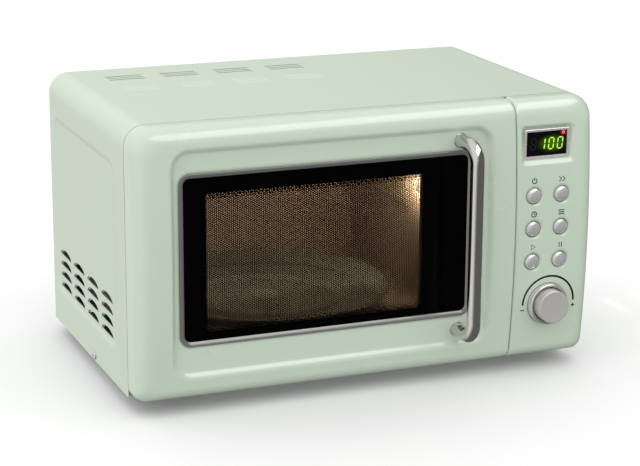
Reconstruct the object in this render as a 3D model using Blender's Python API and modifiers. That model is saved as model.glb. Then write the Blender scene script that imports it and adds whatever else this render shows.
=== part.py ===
"""Countertop microwave oven in a rounded retro style, as an assembly of separate parts.

Metres, +Z up. +X is to the right seen from the front and the door faces -Y.
The origin is at the middle of the footprint, on the surface that the feet stand on.
Parts are laid out in cabinet coordinates: x = 0 at mid-width, y = 0 at the seam
between cabinet and door, z = 0 at the underside of the cabinet. An empty called
cabinet_datum carries those coordinates to their place over the origin.
"""
import math

import bmesh
import bpy
from mathutils import Matrix, Vector

MM = 0.001

# Driving dimensions
WIDTH = 440 * MM
BODY_HEIGHT = 243.5 * MM
WRAP_DEPTH = 250 * MM
FRONT_DEPTH = 32.5 * MM      # seam to the front of the door, at mid-height
FRONT_BOW = 7.9 * MM         # how far the front falls back at its top and bottom edges
FOOT_HEIGHT = 14.5 * MM
REAR_HUMP = 24 * MM
GLAND_PROUD = 3 * MM
HANDLE_BAR_Y = -58 * MM      # centre line of the handle's bar
HANDLE_RADIUS = 6 * MM

GAP = 0.3 * MM
SHEET = 0.8 * MM
SHELL = 2.0 * MM
SEAM = 1.0 * MM
COVER_RADIUS = 18.6 * MM
DOOR_RIGHT = 139.1 * MM
PANEL_LEFT = 139.7 * MM

# Fillets where the front face turns into its sides, and radii of its outer corners
FILLET_SIDE = 16 * MM
FILLET_TOP = 15.5 * MM
FILLET_BOTTOM = 11 * MM
FILLET_SEAM = 2.5 * MM
LOWER_CORNER = 10 * MM
SEAM_CORNER = 3 * MM

# Door
RECESS_Y = -23 * MM
RECESS = (-182.5 * MM, 111.7 * MM, 25 * MM, 219.7 * MM)
RECESS_STEP = 7.5 * MM
RECESS_RADIUS = 13 * MM
WINDOW = (-175.6 * MM, 95.1 * MM, 50.9 * MM, 199.1 * MM)
WINDOW_RADIUS = 7 * MM
GLASS_FRONT = -22.9 * MM
GLASS_BACK = -19.9 * MM
SCREEN_OPENING = (-158 * MM, 55.5 * MM, 55 * MM, 187 * MM)
PAN = (-203 * MM, 133 * MM, 12 * MM, 221 * MM)
PAN_FRONT = -14 * MM
HINGE_X = -213 * MM
HINGE_Y = -8 * MM
HINGE_PIN_RADIUS = 2 * MM
HANDLE_X = 86 * MM
HANDLE_FEET_Z = (35 * MM, 212 * MM)
HANDLE_BEND = 15 * MM
LATCH_X = (121 * MM, 129 * MM)
LATCH_HOOKS_Z = (57 * MM, 187 * MM)

# Cooking cavity, inside faces
CAVITY_X = (-190 * MM, 100 * MM)
CAVITY_Z = (24 * MM, 214 * MM)
CAVITY_REAR = 262 * MM
FRAME_Y = 3 * MM
FRAME_THICKNESS = 1 * MM
WAVE_PORT = (124 * MM, 192 * MM, 120 * MM, 160 * MM)     # in the right wall, as (y0, y1, z0, z1)
LAMP_PORT = (84 * MM, 104 * MM, 134 * MM, 154 * MM)
LAMP_OFFSET = 17 * MM        # from the cavity's right wall to the widest part of the bulb

# Turntable
TABLE_CENTRE = (-45 * MM, 133 * MM)
TABLE_RADIUS = 122.5 * MM
ROLLER_RADIUS = 6 * MM
ROLLER_TRACK = 86 * MM
ROLLER_COUNT = 3

# Control panel
DISPLAY = (150.2 * MM, 191.2 * MM, 191.9 * MM, 214.3 * MM)
BUTTON_X = (157 * MM, 185 * MM)
BUTTON_Z = (156 * MM, 125 * MM, 94 * MM)
BUTTON_RADIUS = 7.4 * MM
BUTTON_FRONT = -34.6 * MM
BUTTON_NAMES = (
    "power_button", "express_button", "clock_button", "menu_button", "start_button", "stop_button",
)
KNOB_X = 174.3 * MM
KNOB_Z = 52.2 * MM
KNOB_RADIUS = 15.3 * MM
KNOB_BASE = -30 * MM
KNOB_BEZEL_RADIUS = 19.5 * MM

# Cover openings
LOUVRE_Y = (207 * MM, 160 * MM, 113 * MM, 66 * MM)
LOUVRE_Z = (71.5 * MM, 60.7 * MM, 49.9 * MM, 39.1 * MM)
LOUVRE_WIDTH = 32 * MM
LOUVRE_HEIGHT = 5.5 * MM
SLIT_X = (-157.5 * MM, -104 * MM, -50.5 * MM, 3 * MM)
SLIT_Y = (196 * MM, 204 * MM, 212 * MM)
SLIT_LENGTH = 35 * MM
SLIT_WIDTH = 2.4 * MM
COVER_SCREW = (107 * MM, 5.2 * MM)
SCREW_HOLE_RADIUS = 2.1 * MM

# Base and back
FOOT_X = 180 * MM
FOOT_Y = (52 * MM, 220 * MM)
GLAND_X = 150 * MM
GLAND_Z = 42 * MM
GLAND_HOLE_RADIUS = 6.6 * MM

# Fan
FAN_X = 160 * MM
FAN_Y = 222 * MM
FAN_Z = 160 * MM
FAN_RADIUS = 42 * MM
FAN_HALF = 50 * MM           # half the side of its square housing
BLADE_COUNT = 5
BLADE_PITCH = math.radians(28)

THROUGH = 10 * MM            # how far a cutter reaches past a sheet
ROUND_STEPS = 24
SMOOTH_ANGLE = 35

# Colours as linear RGB
MINT = (0.50, 0.60, 0.47)
STEEL = (0.62, 0.62, 0.60)
ZINC = (0.55, 0.56, 0.55)
CHROME = (0.78, 0.77, 0.75)
BLACK = (0.010, 0.010, 0.011)
GREY = (0.18, 0.18, 0.18)
CREAM = (0.70, 0.68, 0.60)
MICA = (0.55, 0.50, 0.40)
BOARD = (0.30, 0.22, 0.09)
CLEAR = (0.85, 0.92, 0.90)

MID_Z = BODY_HEIGHT / 2
TOTAL_DEPTH = HANDLE_RADIUS - HANDLE_BAR_Y + WRAP_DEPTH + REAR_HUMP + GLAND_PROUD
DATUM = Vector((0, TOTAL_DEPTH / 2 - (WRAP_DEPTH + REAR_HUMP + GLAND_PROUD), FOOT_HEIGHT))


# ---------------------------------------------------------------- helpers

def clear_scene():
    for obj in list(bpy.data.objects):
        bpy.data.objects.remove(obj, do_unlink=True)


def new_collection(name):
    collection = bpy.data.collections.new(name)
    bpy.context.scene.collection.children.link(collection)
    return collection


def make_material(name, colour, roughness, metallic=0.0, alpha=1.0):
    material = bpy.data.materials.new(name)
    material.use_nodes = True
    shader = material.node_tree.nodes["Principled BSDF"]
    shader.inputs["Base Color"].default_value = (*colour, 1.0)
    shader.inputs["Roughness"].default_value = roughness
    shader.inputs["Metallic"].default_value = metallic
    shader.inputs["Alpha"].default_value = alpha
    material.diffuse_color = (*colour, alpha)
    return material


def make_empty(name, place, parent=None):
    """An empty at a place in cabinet coordinates; its children are given in the same coordinates."""
    empty = bpy.data.objects.new(name, None)
    empty.empty_display_size = 0.02
    empty["pivot"] = list(place)
    empty.parent = parent
    empty.location = Vector(place) - pivot_of(parent) if parent else DATUM + Vector(place)
    OVEN.objects.link(empty)
    return empty


def pivot_of(empty):
    return Vector(empty["pivot"])


def add_part(name, bm, material, parent, smooth=None, oriented=False):
    """Make a named part from a bmesh in cabinet coordinates, with its origin at its parent empty."""
    mesh = bpy.data.meshes.new(name)
    if not oriented:
        bmesh.ops.recalc_face_normals(bm, faces=bm.faces[:])
    bm.to_mesh(mesh)
    bm.free()
    mesh.transform(Matrix.Translation(-pivot_of(parent)))
    mesh.materials.append(material)
    if smooth:
        mesh.shade_smooth()
        mesh.set_sharp_from_angle(angle=math.radians(smooth))
    obj = bpy.data.objects.new(name, mesh)
    obj.parent = parent
    OVEN.objects.link(obj)
    return obj


def add_cutter(name, bm, parent):
    mesh = bpy.data.meshes.new(name)
    bmesh.ops.recalc_face_normals(bm, faces=bm.faces[:])
    bm.to_mesh(mesh)
    bm.free()
    mesh.transform(Matrix.Translation(-pivot_of(parent)))
    obj = bpy.data.objects.new(name, mesh)
    obj.parent = parent
    obj.hide_render = True
    obj.display_type = "WIRE"
    CUTTERS.objects.link(obj)
    return obj


def sheet_part(name, bm, outside, thickness, material, parent, grow_out=False):
    """A part made from an open surface, given thickness on its inner side (or its outer side).

    outside is a direction. The face that lies furthest that way has to look that way too, and it
    decides which side of the whole surface is the outer one.
    """
    bmesh.ops.recalc_face_normals(bm, faces=bm.faces[:])
    direction = Vector(outside)
    furthest = max(bm.faces, key=lambda face: face.calc_center_median().dot(direction))
    if furthest.normal.dot(direction) < 0:
        bmesh.ops.reverse_faces(bm, faces=bm.faces[:])
    obj = add_part(name, bm, material, parent, SMOOTH_ANGLE, oriented=True)
    modifier = obj.modifiers.new("thickness", "SOLIDIFY")
    modifier.thickness = thickness
    modifier.offset = 1.0 if grow_out else -1.0
    modifier.use_even_offset = True
    return obj


def bevel(obj, width, segments=2, angle=40):
    modifier = obj.modifiers.new("edges", "BEVEL")
    modifier.width = width
    modifier.segments = segments
    modifier.limit_method = "ANGLE"
    modifier.angle_limit = math.radians(angle)
    return obj


def boolean(obj, cutter, operation="DIFFERENCE"):
    modifier = obj.modifiers.new(operation.lower(), "BOOLEAN")
    modifier.operation = operation
    modifier.object = cutter
    modifier.solver = "EXACT"
    return obj


def box_mesh(*boxes):
    """Boxes given as (x0, x1, y0, y1, z0, z1), in one bmesh."""
    bm = bmesh.new()
    for x0, x1, y0, y1, z0, z1 in boxes:
        size = Matrix.Diagonal((x1 - x0, y1 - y0, z1 - z0, 1.0))
        centre = Matrix.Translation(((x0 + x1) / 2, (y0 + y1) / 2, (z0 + z1) / 2))
        bmesh.ops.create_cube(bm, size=1.0, matrix=centre @ size)
    return bm


def axis_matrix(axis):
    """Rotation that turns +Z to the named axis."""
    turns = {
        "X": Matrix.Rotation(math.pi / 2, 4, "Y"),
        "-X": Matrix.Rotation(-math.pi / 2, 4, "Y"),
        "Y": Matrix.Rotation(-math.pi / 2, 4, "X"),
        "-Y": Matrix.Rotation(math.pi / 2, 4, "X"),
        "Z": Matrix.Identity(4),
    }
    return turns[axis]


def cylinder_mesh(rods, steps=ROUND_STEPS):
    """Cylinders given as (centre, axis, radius, length), in one bmesh."""
    bm = bmesh.new()
    for centre, axis, radius, length in rods:
        matrix = Matrix.Translation(centre) @ axis_matrix(axis)
        bmesh.ops.create_cone(
            bm, cap_ends=True, segments=steps, radius1=radius, radius2=radius, depth=length, matrix=matrix
        )
    return bm


def box_part(name, box, material, parent, rounding=0.0):
    obj = add_part(name, box_mesh(box), material, parent)
    if rounding:
        bevel(obj, rounding)
    return obj


def unite(obj, bm, name):
    """Join further solids to a part, so that it stays one closed body."""
    return boolean(obj, add_cutter(name, bm, obj.parent), "UNION")


def turned_part(name, profile, centre, axis, material, parent, steps=ROUND_STEPS, turn=0.0):
    """A part turned round an axis through centre; turn swings that axis about +Z.

    The profile is a list of (radius, height) that starts and ends on the axis, or closes on itself
    for a ring. It runs from high to low along its outer side.
    """
    bm = bmesh.new()
    verts = [bm.verts.new((radius, 0.0, height)) for radius, height in profile]
    for first, second in zip(verts, verts[1:]):
        bm.edges.new((first, second))
    is_ring = profile[0][0] > 0
    if is_ring:
        bm.edges.new((verts[-1], verts[0]))
    mesh = bpy.data.meshes.new(name)
    bm.to_mesh(mesh)
    bm.free()
    mesh.materials.append(material)
    obj = bpy.data.objects.new(name, mesh)
    obj.parent = parent
    obj.location = Vector(centre) - pivot_of(parent)
    obj.rotation_euler = (Matrix.Rotation(turn, 4, "Z") @ axis_matrix(axis)).to_euler()
    OVEN.objects.link(obj)
    modifier = obj.modifiers.new("turn", "SCREW")
    modifier.axis = "Z"
    modifier.steps = steps
    modifier.render_steps = steps
    modifier.use_merge_vertices = True
    modifier.merge_threshold = 0.00001
    modifier.use_smooth_shade = True
    return obj


def half_outline(corner_x, side, z0, z1, bottom_radius, top_radius, arc_steps, side_steps):
    """Points up one side of a rounded rectangle; side is +1 for the right, -1 for the left."""
    points = []
    for step in range(arc_steps + 1):
        turn = math.pi / 2 * step / arc_steps
        x = corner_x - side * bottom_radius * (1 - math.sin(turn))
        points.append((x, z0 + bottom_radius * (1 - math.cos(turn))))
    low = z0 + bottom_radius
    high = z1 - top_radius
    for step in range(1, side_steps):
        points.append((corner_x, low + (high - low) * step / side_steps))
    for step in range(arc_steps + 1):
        turn = math.pi / 2 * step / arc_steps
        x = corner_x - side * top_radius * (1 - math.cos(turn))
        points.append((x, z1 - top_radius * (1 - math.sin(turn))))
    return points


def rounded_outline(x0, x1, z0, z1, radii, arc_steps=4, side_steps=6):
    """Left and right halves of a rounded rectangle.

    radii are those of the bottom left, bottom right, top right and top left corners, or one for all.
    """
    if not isinstance(radii, tuple):
        radii = (radii,) * 4
    left = half_outline(x0, -1, z0, z1, radii[0], radii[3], arc_steps, side_steps)
    right = half_outline(x1, 1, z0, z1, radii[1], radii[2], arc_steps, side_steps)
    return left, right


def ring_verts(bm, outline, depth_at):
    """Vertices of an outline, at the depth that depth_at gives for each height."""
    left, right = outline
    loop = right + left[::-1]
    return [bm.verts.new((x, depth_at(z), z)) for x, z in loop]


def bridge(bm, ring_a, ring_b):
    count = len(ring_a)
    for index in range(count):
        after = (index + 1) % count
        bm.faces.new((ring_a[index], ring_a[after], ring_b[after], ring_b[index]))


def cap_ladder(bm, ring):
    """Close a ring with level strips from side to side, which follow a bowed face."""
    half = len(ring) // 2
    right = ring[:half]
    left = ring[half:][::-1]
    for index in range(half - 1):
        bm.faces.new((left[index], right[index], right[index + 1], left[index + 1]))


def ring_plate(name, outer, outer_radius, inner, inner_radius, y0, y1, material, parent, side_steps=2):
    """A flat rectangular ring between two rounded outlines, from depth y0 to y1."""
    outer_line = rounded_outline(*outer, outer_radius, side_steps=side_steps)
    inner_line = rounded_outline(*inner, inner_radius, side_steps=side_steps)
    bm = bmesh.new()
    rings = [
        ring_verts(bm, outer_line, lambda z: y1),
        ring_verts(bm, outer_line, lambda z: y0),
        ring_verts(bm, inner_line, lambda z: y0),
        ring_verts(bm, inner_line, lambda z: y1),
    ]
    for index, ring in enumerate(rings):
        bridge(bm, ring, rings[(index + 1) % len(rings)])
    return add_part(name, bm, material, parent, SMOOTH_ANGLE)


def plate_mesh(outline, y0, y1):
    """A flat plate with a rounded outline."""
    bm = bmesh.new()
    front = ring_verts(bm, outline, lambda z: y0)
    back = ring_verts(bm, outline, lambda z: y1)
    bridge(bm, front, back)
    bm.faces.new(front)
    bm.faces.new(back[::-1])
    return bm


def grow(rectangle, amount):
    x0, x1, z0, z1 = rectangle
    return x0 - amount, x1 + amount, z0 - amount, z1 + amount


# ---------------------------------------------------------------- cabinet

def cover_profile():
    """Outer line of the wrap, from the left foot over the top to the right foot."""
    half = WIDTH / 2
    arc_steps = 6
    points = [(-half, 0.0)]
    for step in range(arc_steps + 1):
        turn = math.pi / 2 * step / arc_steps
        points.append((
            -half + COVER_RADIUS * (1 - math.cos(turn)),
            BODY_HEIGHT - COVER_RADIUS * (1 - math.sin(turn)),
        ))
    return points + [(-x, z) for x, z in points[::-1]]


def half_moon_cutters():
    """Half-moon prisms across the cabinet, flat side down, for both side walls at once."""
    bm = bmesh.new()
    arc_steps = 8
    for y in LOUVRE_Y:
        for z in LOUVRE_Z:
            line = []
            for step in range(arc_steps + 1):
                turn = math.pi * step / arc_steps
                line.append((y + LOUVRE_WIDTH / 2 * math.cos(turn), z + LOUVRE_HEIGHT * math.sin(turn)))
            ends = [[bm.verts.new((side * WIDTH, py, pz)) for py, pz in line] for side in (-1, 1)]
            bridge(bm, *ends)
            bm.faces.new(ends[0])
            bm.faces.new(ends[1][::-1])
    return bm


def build_outer_cover():
    bm = bmesh.new()
    rows = [[bm.verts.new((x, y, z)) for x, z in cover_profile()] for y in (GAP, WRAP_DEPTH - GAP)]
    for index in range(len(rows[0]) - 1):
        bm.faces.new((rows[0][index], rows[0][index + 1], rows[1][index + 1], rows[1][index]))
    cover = sheet_part("outer_cover", bm, (0, 0, 1), SHEET, PAINT, CABINET)
    boolean(cover, add_cutter("side_louvre_cutter", half_moon_cutters(), CABINET))
    slits = [
        (x - SLIT_LENGTH / 2, x + SLIT_LENGTH / 2, y - SLIT_WIDTH / 2, y + SLIT_WIDTH / 2,
         BODY_HEIGHT - THROUGH, BODY_HEIGHT + THROUGH)
        for x in SLIT_X for y in SLIT_Y
    ]
    boolean(cover, add_cutter("top_slit_cutter", box_mesh(*slits), CABINET))
    boolean(cover, SCREW_HOLES)
    return cover


def build_cover_screws():
    head_radius = 4 * MM
    shank_radius = 1.75 * MM
    profile = [
        (0, 2.0 * MM), (1.6 * MM, 1.9 * MM), (3.2 * MM, 1.3 * MM), (head_radius, 0.2 * MM),
        (head_radius, 0), (shank_radius, 0), (shank_radius, -7 * MM), (0.6 * MM, -9 * MM),
        (0, -9.2 * MM),
    ]
    y, z = COVER_SCREW
    for name, side, axis in (("cover_screw_left", -1, "-X"), ("cover_screw_right", 1, "X")):
        centre = (side * (WIDTH / 2 + GAP), y, z)
        turned_part(name, profile, centre, axis, SCREW_STEEL, CABINET, steps=16)


def build_base_plate():
    half = WIDTH / 2 - SHEET - GAP
    flange = 14 * MM
    thick = 1.0 * MM
    y0, y1 = 4.5 * MM, WRAP_DEPTH - 2 * MM
    plate = box_part("base_plate", (-half, half, y0, y1, GAP, GAP + thick), GALVANISED, CABINET)
    flanges = box_mesh(
        (-half, -half + thick, y0, y1, GAP, GAP + flange),
        (half - thick, half, y0, y1, GAP, GAP + flange),
    )
    unite(plate, flanges, "base_flanges")
    first_vent = 118 * MM
    vent_pitch = 9 * MM
    vent_size = (3 * MM, 24 * MM)
    vent_rows = (100 * MM, 135 * MM)
    vents = []
    for column in range(8):
        x = first_vent + column * vent_pitch
        vents += [(x, x + vent_size[0], y, y + vent_size[1], -THROUGH, THROUGH) for y in vent_rows]
    boolean(plate, add_cutter("base_vent_cutter", box_mesh(*vents), CABINET))
    boolean(plate, SCREW_HOLES)


def build_feet():
    radius = 12 * MM
    profile = [
        (0, 0), (radius, 0), (radius, -3 * MM), (radius - 2.5 * MM, -FOOT_HEIGHT + 1.5 * MM),
        (radius - 3.5 * MM, -FOOT_HEIGHT), (0, -FOOT_HEIGHT),
    ]
    for side, side_name in ((-1, "left"), (1, "right")):
        for y, end_name in zip(FOOT_Y, ("front", "rear")):
            name = f"foot_{end_name}_{side_name}"
            turned_part(name, profile, (side * FOOT_X, y, 0), "Z", RUBBER, CABINET, 20)


def build_rear_panel():
    """Steel back with one shallow hump over the cavity and the fan, open towards the cabinet."""
    half = WIDTH / 2 - SHEET - GAP
    flange_y = WRAP_DEPTH - SHEET
    face_y = WRAP_DEPTH + REAR_HUMP
    top_radius = 17 * MM
    rim = rounded_outline(
        -half, half, 2 * MM, BODY_HEIGHT - 1.3 * MM, (2 * MM, 2 * MM, top_radius, top_radius)
    )
    hump = (-204 * MM, 204 * MM, 10 * MM, 230 * MM)
    outlines = [
        (rim, flange_y),
        (rounded_outline(*hump, 12 * MM), flange_y),
        (rounded_outline(*grow(hump, -2 * MM), 12 * MM), flange_y + 4 * MM),
        (rounded_outline(*grow(hump, -5 * MM), 11 * MM), face_y - 2 * MM),
        (rounded_outline(*grow(hump, -8 * MM), 9 * MM), face_y),
    ]
    bm = bmesh.new()
    rings = [ring_verts(bm, outline, lambda z, y=y: y) for outline, y in outlines]
    for first, second in zip(rings, rings[1:]):
        bridge(bm, first, second)
    bm.faces.new(rings[-1])
    panel = sheet_part("rear_panel", bm, (0, 1, 0), SHEET, GALVANISED, CABINET)
    slot_half = 14 * MM
    slot_height = 3 * MM
    slot_pitch = 9 * MM
    slots = []
    for row in range(9):
        z = 125 * MM + row * slot_pitch
        slots += [
            (x - slot_half, x + slot_half, face_y - THROUGH, face_y + THROUGH, z, z + slot_height)
            for x in (FAN_X - 18 * MM, FAN_X + 18 * MM)
        ]
    boolean(panel, add_cutter("rear_vent_cutter", box_mesh(*slots), CABINET))
    hole = cylinder_mesh([((GLAND_X, face_y, GLAND_Z), "Y", GLAND_HOLE_RADIUS, 2 * THROUGH)])
    boolean(panel, add_cutter("gland_hole_cutter", hole, CABINET))


def build_cord_gland():
    """Round bushing with a through hole, where the mains lead would come in."""
    face_y = WRAP_DEPTH + REAR_HUMP
    profile = [
        (3.6 * MM, GLAND_PROUD), (7 * MM, GLAND_PROUD), (9 * MM, 1.5 * MM), (9 * MM, GAP), (6.2 * MM, GAP),
        (6.2 * MM, -5 * MM), (3.6 * MM, -5 * MM),
    ]
    turned_part("cord_gland", profile, (GLAND_X, face_y, GLAND_Z), "Y", BLACK_PLASTIC, CABINET, 20)


def build_front_frame():
    """Welded front plate round the mouth of the cavity, with slots for the latch hooks."""
    half = WIDTH / 2 - SHEET - 2 * GAP
    top_radius = 17 * MM
    radii = (2 * MM, 2 * MM, top_radius, top_radius)
    outer = rounded_outline(-half, half, 2 * MM, BODY_HEIGHT - 1.4 * MM, radii, side_steps=1)
    plate = plate_mesh(outer, FRAME_Y, FRAME_Y + FRAME_THICKNESS)
    frame = add_part("front_frame", plate, FRAME_PAINT, CABINET)
    mouth = rounded_outline(*CAVITY_X, *CAVITY_Z, 8 * MM, side_steps=1)
    boolean(frame, add_cutter("cavity_mouth_cutter", plate_mesh(mouth, -THROUGH, THROUGH), CABINET))
    x0, x1 = LATCH_X
    openings = [
        (x0 - 4 * MM, x1 + 5 * MM, -THROUGH, THROUGH, z - 9 * MM, z + 14 * MM) for z in LATCH_HOOKS_Z
    ]
    openings.append((150 * MM, 205 * MM, -THROUGH, THROUGH, 60 * MM, 225 * MM))
    boolean(frame, add_cutter("frame_slot_cutter", box_mesh(*openings), CABINET))


def build_cavity():
    """Cooking cavity: top and side walls in one wrap, a floor and a rear wall."""
    x0, x1 = CAVITY_X
    z0, z1 = CAVITY_Z
    y0 = FRAME_Y + FRAME_THICKNESS + GAP
    radius = 8 * MM
    arc_steps = 3
    line = [(x0, z0 + GAP)]
    for step in range(arc_steps + 1):
        turn = math.pi / 2 * step / arc_steps
        line.append((x0 + radius * (1 - math.cos(turn)), z1 - radius * (1 - math.sin(turn))))
    mirrored = [(x0 + x1 - x, z) for x, z in line[::-1]]
    bm = bmesh.new()
    rows = [[bm.verts.new((x, y, z)) for x, z in line + mirrored] for y in (y0, CAVITY_REAR)]
    for index in range(len(rows[0]) - 1):
        bm.faces.new((rows[0][index], rows[0][index + 1], rows[1][index + 1], rows[1][index]))
    wrap = sheet_part("cavity_wrap", bm, (0, 0, 1), SHEET, CAVITY_PAINT, CABINET, grow_out=True)
    ports = box_mesh((x1 - THROUGH, x1 + THROUGH, *WAVE_PORT), (x1 - THROUGH, x1 + THROUGH, *LAMP_PORT))
    boolean(wrap, add_cutter("cavity_port_cutter", ports, CABINET))

    floor = box_part(
        "cavity_floor", (x0 - SHEET, x1 + SHEET, y0, CAVITY_REAR, z0 - SHEET, z0), CAVITY_PAINT, CABINET
    )
    hole = cylinder_mesh([((*TABLE_CENTRE, z0), "Z", 8 * MM, THROUGH)])
    boolean(floor, add_cutter("spindle_hole_cutter", hole, CABINET))
    rear_y = CAVITY_REAR + GAP
    rear_box = (x0 - SHEET, x1 + SHEET, rear_y, rear_y + SHEET, z0 - SHEET, z1 + SHEET)
    box_part("cavity_rear", rear_box, CAVITY_PAINT, CABINET)
    cover_face = grow(WAVE_PORT, 4 * MM)
    box_part("waveguide_cover", (x1 - 1.5 * MM, x1 - GAP, *cover_face), MICA_SHEET, CABINET)


def build_hinge_brackets():
    """Steel arms from the front frame to the hinge line, each with a riveted pin."""
    arm = 2.5 * MM
    half_width = 3 * MM
    tie_x = HINGE_X + 12 * MM
    end_x = HINGE_X + 19 * MM
    tie_y = FRAME_Y - GAP
    for name, plate_z, pin_end in (("upper", 226.5 * MM, 214 * MM), ("lower", 7 * MM, 22 * MM)):
        top = plate_z + arm
        bracket = box_part(
            f"hinge_bracket_{name}",
            (HINGE_X - half_width, end_x, HINGE_Y - half_width, HINGE_Y + half_width, plate_z, top),
            GALVANISED, CABINET,
        )
        tie = box_mesh((tie_x, end_x, HINGE_Y + 2 * MM, tie_y - 0.2 * MM, plate_z, top))
        unite(bracket, tie, f"hinge_tie_{name}")
        flange_z = (plate_z - 3.5 * MM, plate_z + 3 * MM)
        flange = box_mesh((tie_x, tie_x + 14 * MM, tie_y - 1.5 * MM, tie_y, *flange_z))
        unite(bracket, flange, f"hinge_flange_{name}")
        middle = plate_z + arm / 2
        pin_centre = (HINGE_X, HINGE_Y, (middle + pin_end) / 2)
        pin = cylinder_mesh([(pin_centre, "Z", HINGE_PIN_RADIUS, abs(middle - pin_end))], 16)
        unite(bracket, pin, f"hinge_pin_{name}")


# ---------------------------------------------------------------- front faces

def front_face(z):
    """Depth of the bowed front at a height."""
    return -FRONT_DEPTH + FRONT_BOW * ((z - MID_Z) / MID_Z) ** 2


def fillet_inset(radius, depth):
    """How far a fillet has drawn in at a depth behind the front face."""
    if depth >= radius:
        return 0.0
    return radius - math.sqrt(radius ** 2 - (radius - depth) ** 2)


def front_shell_rings(bm, x0, x1, left_fillet, right_fillet, radii):
    """Rings of a bowed front shell, from its rear edge forward over the fillets."""
    rings = [ring_verts(bm, rounded_outline(x0, x1, 0, BODY_HEIGHT, radii), lambda z: -SEAM)]
    for depth in (18 * MM, 11 * MM, 6.5 * MM, 3.2 * MM, 1.1 * MM, 0.0):
        left = fillet_inset(left_fillet, depth)
        right = fillet_inset(right_fillet, depth)
        low = fillet_inset(FILLET_BOTTOM, depth)
        high = fillet_inset(FILLET_TOP, depth)
        outline = rounded_outline(x0 + left, x1 - right, low, BODY_HEIGHT - high, radii)
        rings.append(ring_verts(bm, outline, lambda z, depth=depth: front_face(z) + depth))
    for first, second in zip(rings, rings[1:]):
        bridge(bm, first, second)
    return rings


def build_door_shell():
    radii = (LOWER_CORNER, SEAM_CORNER, SEAM_CORNER, COVER_RADIUS)
    bm = bmesh.new()
    rings = front_shell_rings(bm, -WIDTH / 2, DOOR_RIGHT, FILLET_SIDE, FILLET_SEAM, radii)
    last = rings[-1]
    step_count = 4
    for step in range(step_count + 1):
        share = step / step_count
        ease = share * share * (3 - 2 * share)
        margin = RECESS_STEP * (1 - share)
        outline = rounded_outline(*grow(RECESS, margin), RECESS_RADIUS + margin)
        ring = ring_verts(bm, outline, lambda z, ease=ease: front_face(z) * (1 - ease) + RECESS_Y * ease)
        bridge(bm, last, ring)
        last = ring
    opening = rounded_outline(*grow(WINDOW, GAP), WINDOW_RADIUS)
    bridge(bm, last, ring_verts(bm, opening, lambda z: RECESS_Y))
    shell = sheet_part("door_shell", bm, (0, -1, 0), SHELL, PAINT, DOOR)
    holes = [((HANDLE_X, RECESS_Y, z), "Y", 3.4 * MM, 2 * THROUGH) for z in HANDLE_FEET_Z]
    boolean(shell, add_cutter("handle_stud_cutter", cylinder_mesh(holes, 16), DOOR))


def build_window():
    outer = grow(WINDOW, 3.4 * MM)
    inner = grow(WINDOW, -0.9 * MM)
    trim_y = (-25.4 * MM, -23.3 * MM)
    outer_radius = WINDOW_RADIUS + 2 * MM
    inner_radius = WINDOW_RADIUS - 1 * MM
    ring_plate("window_trim", outer, outer_radius, inner, inner_radius, *trim_y, CHROMED, DOOR)
    glass_line = rounded_outline(*WINDOW, WINDOW_RADIUS, side_steps=1)
    add_part("door_glass", plate_mesh(glass_line, GLASS_FRONT, GLASS_BACK), DARK_GLASS, DOOR)


def build_door_pan():
    """Steel pan behind the glass, with the window opening in its front."""
    bm = bmesh.new()
    outer = rounded_outline(*grow(PAN, -1.6 * MM), 6 * MM, side_steps=2)
    opening = rounded_outline(*SCREEN_OPENING, 5 * MM, side_steps=2)
    rings = [
        ring_verts(bm, outer, lambda z: -4.0 * MM),
        ring_verts(bm, outer, lambda z: PAN_FRONT),
        ring_verts(bm, opening, lambda z: PAN_FRONT),
    ]
    for first, second in zip(rings, rings[1:]):
        bridge(bm, first, second)
    sheet_part("door_pan", bm, (0, -1, 0), SHEET, GALVANISED, DOOR)


def build_inner_door():
    """Perforated screen, clear film and the plastic choke cover that faces the cavity."""
    screen_line = rounded_outline(*grow(SCREEN_OPENING, 3 * MM), 5 * MM, side_steps=1)
    add_part("door_screen", plate_mesh(screen_line, -12.8 * MM, -12.2 * MM), BLACK_STEEL, DOOR)

    face_y = 2.0 * MM
    bm = bmesh.new()
    edge = rounded_outline(*PAN, 6 * MM, side_steps=2)
    throat = rounded_outline(*grow(SCREEN_OPENING, 3 * MM), 5 * MM, side_steps=2)
    rings = [
        ring_verts(bm, edge, lambda z: -3.0 * MM),
        ring_verts(bm, edge, lambda z: face_y),
        ring_verts(bm, throat, lambda z: face_y),
        ring_verts(bm, throat, lambda z: -11.8 * MM),
    ]
    for first, second in zip(rings, rings[1:]):
        bridge(bm, first, second)
    choke = sheet_part("choke_cover", bm, (0, 1, 0), 1.2 * MM, GREY_PLASTIC, DOOR)
    x0, x1 = LATCH_X
    slots = [
        (x0 - 2 * MM, x1 + 2 * MM, -2 * THROUGH, 2 * THROUGH, z - 7 * MM, z + 11 * MM)
        for z in LATCH_HOOKS_Z
    ]
    boolean(choke, add_cutter("choke_slot_cutter", box_mesh(*slots), DOOR))

    film_line = rounded_outline(*grow(SCREEN_OPENING, 1.2 * MM), 4 * MM, side_steps=1)
    add_part("inner_window", plate_mesh(film_line, -11.6 * MM, -10.8 * MM), CLEAR_PLASTIC, DOOR)


def build_hinge_bushes():
    """Plastic bearing blocks on the door, one for each hinge pin."""
    for name, z0, z1 in (("upper", 213 * MM, 226.1 * MM), ("lower", 9.9 * MM, 23 * MM)):
        bush = box_part(
            f"hinge_bush_{name}",
            (HINGE_X - 3.8 * MM, PAN[0] - 2 * GAP, HINGE_Y - 4 * MM, HINGE_Y + 4 * MM, z0, z1),
            CREAM_PLASTIC, DOOR,
        )
        bore_radius = HINGE_PIN_RADIUS + 0.25 * MM
        bore = cylinder_mesh([((HINGE_X, HINGE_Y, (z0 + z1) / 2), "Z", bore_radius, 3 * THROUGH)], 16)
        boolean(bush, add_cutter(f"hinge_bore_{name}", bore, DOOR))


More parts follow.
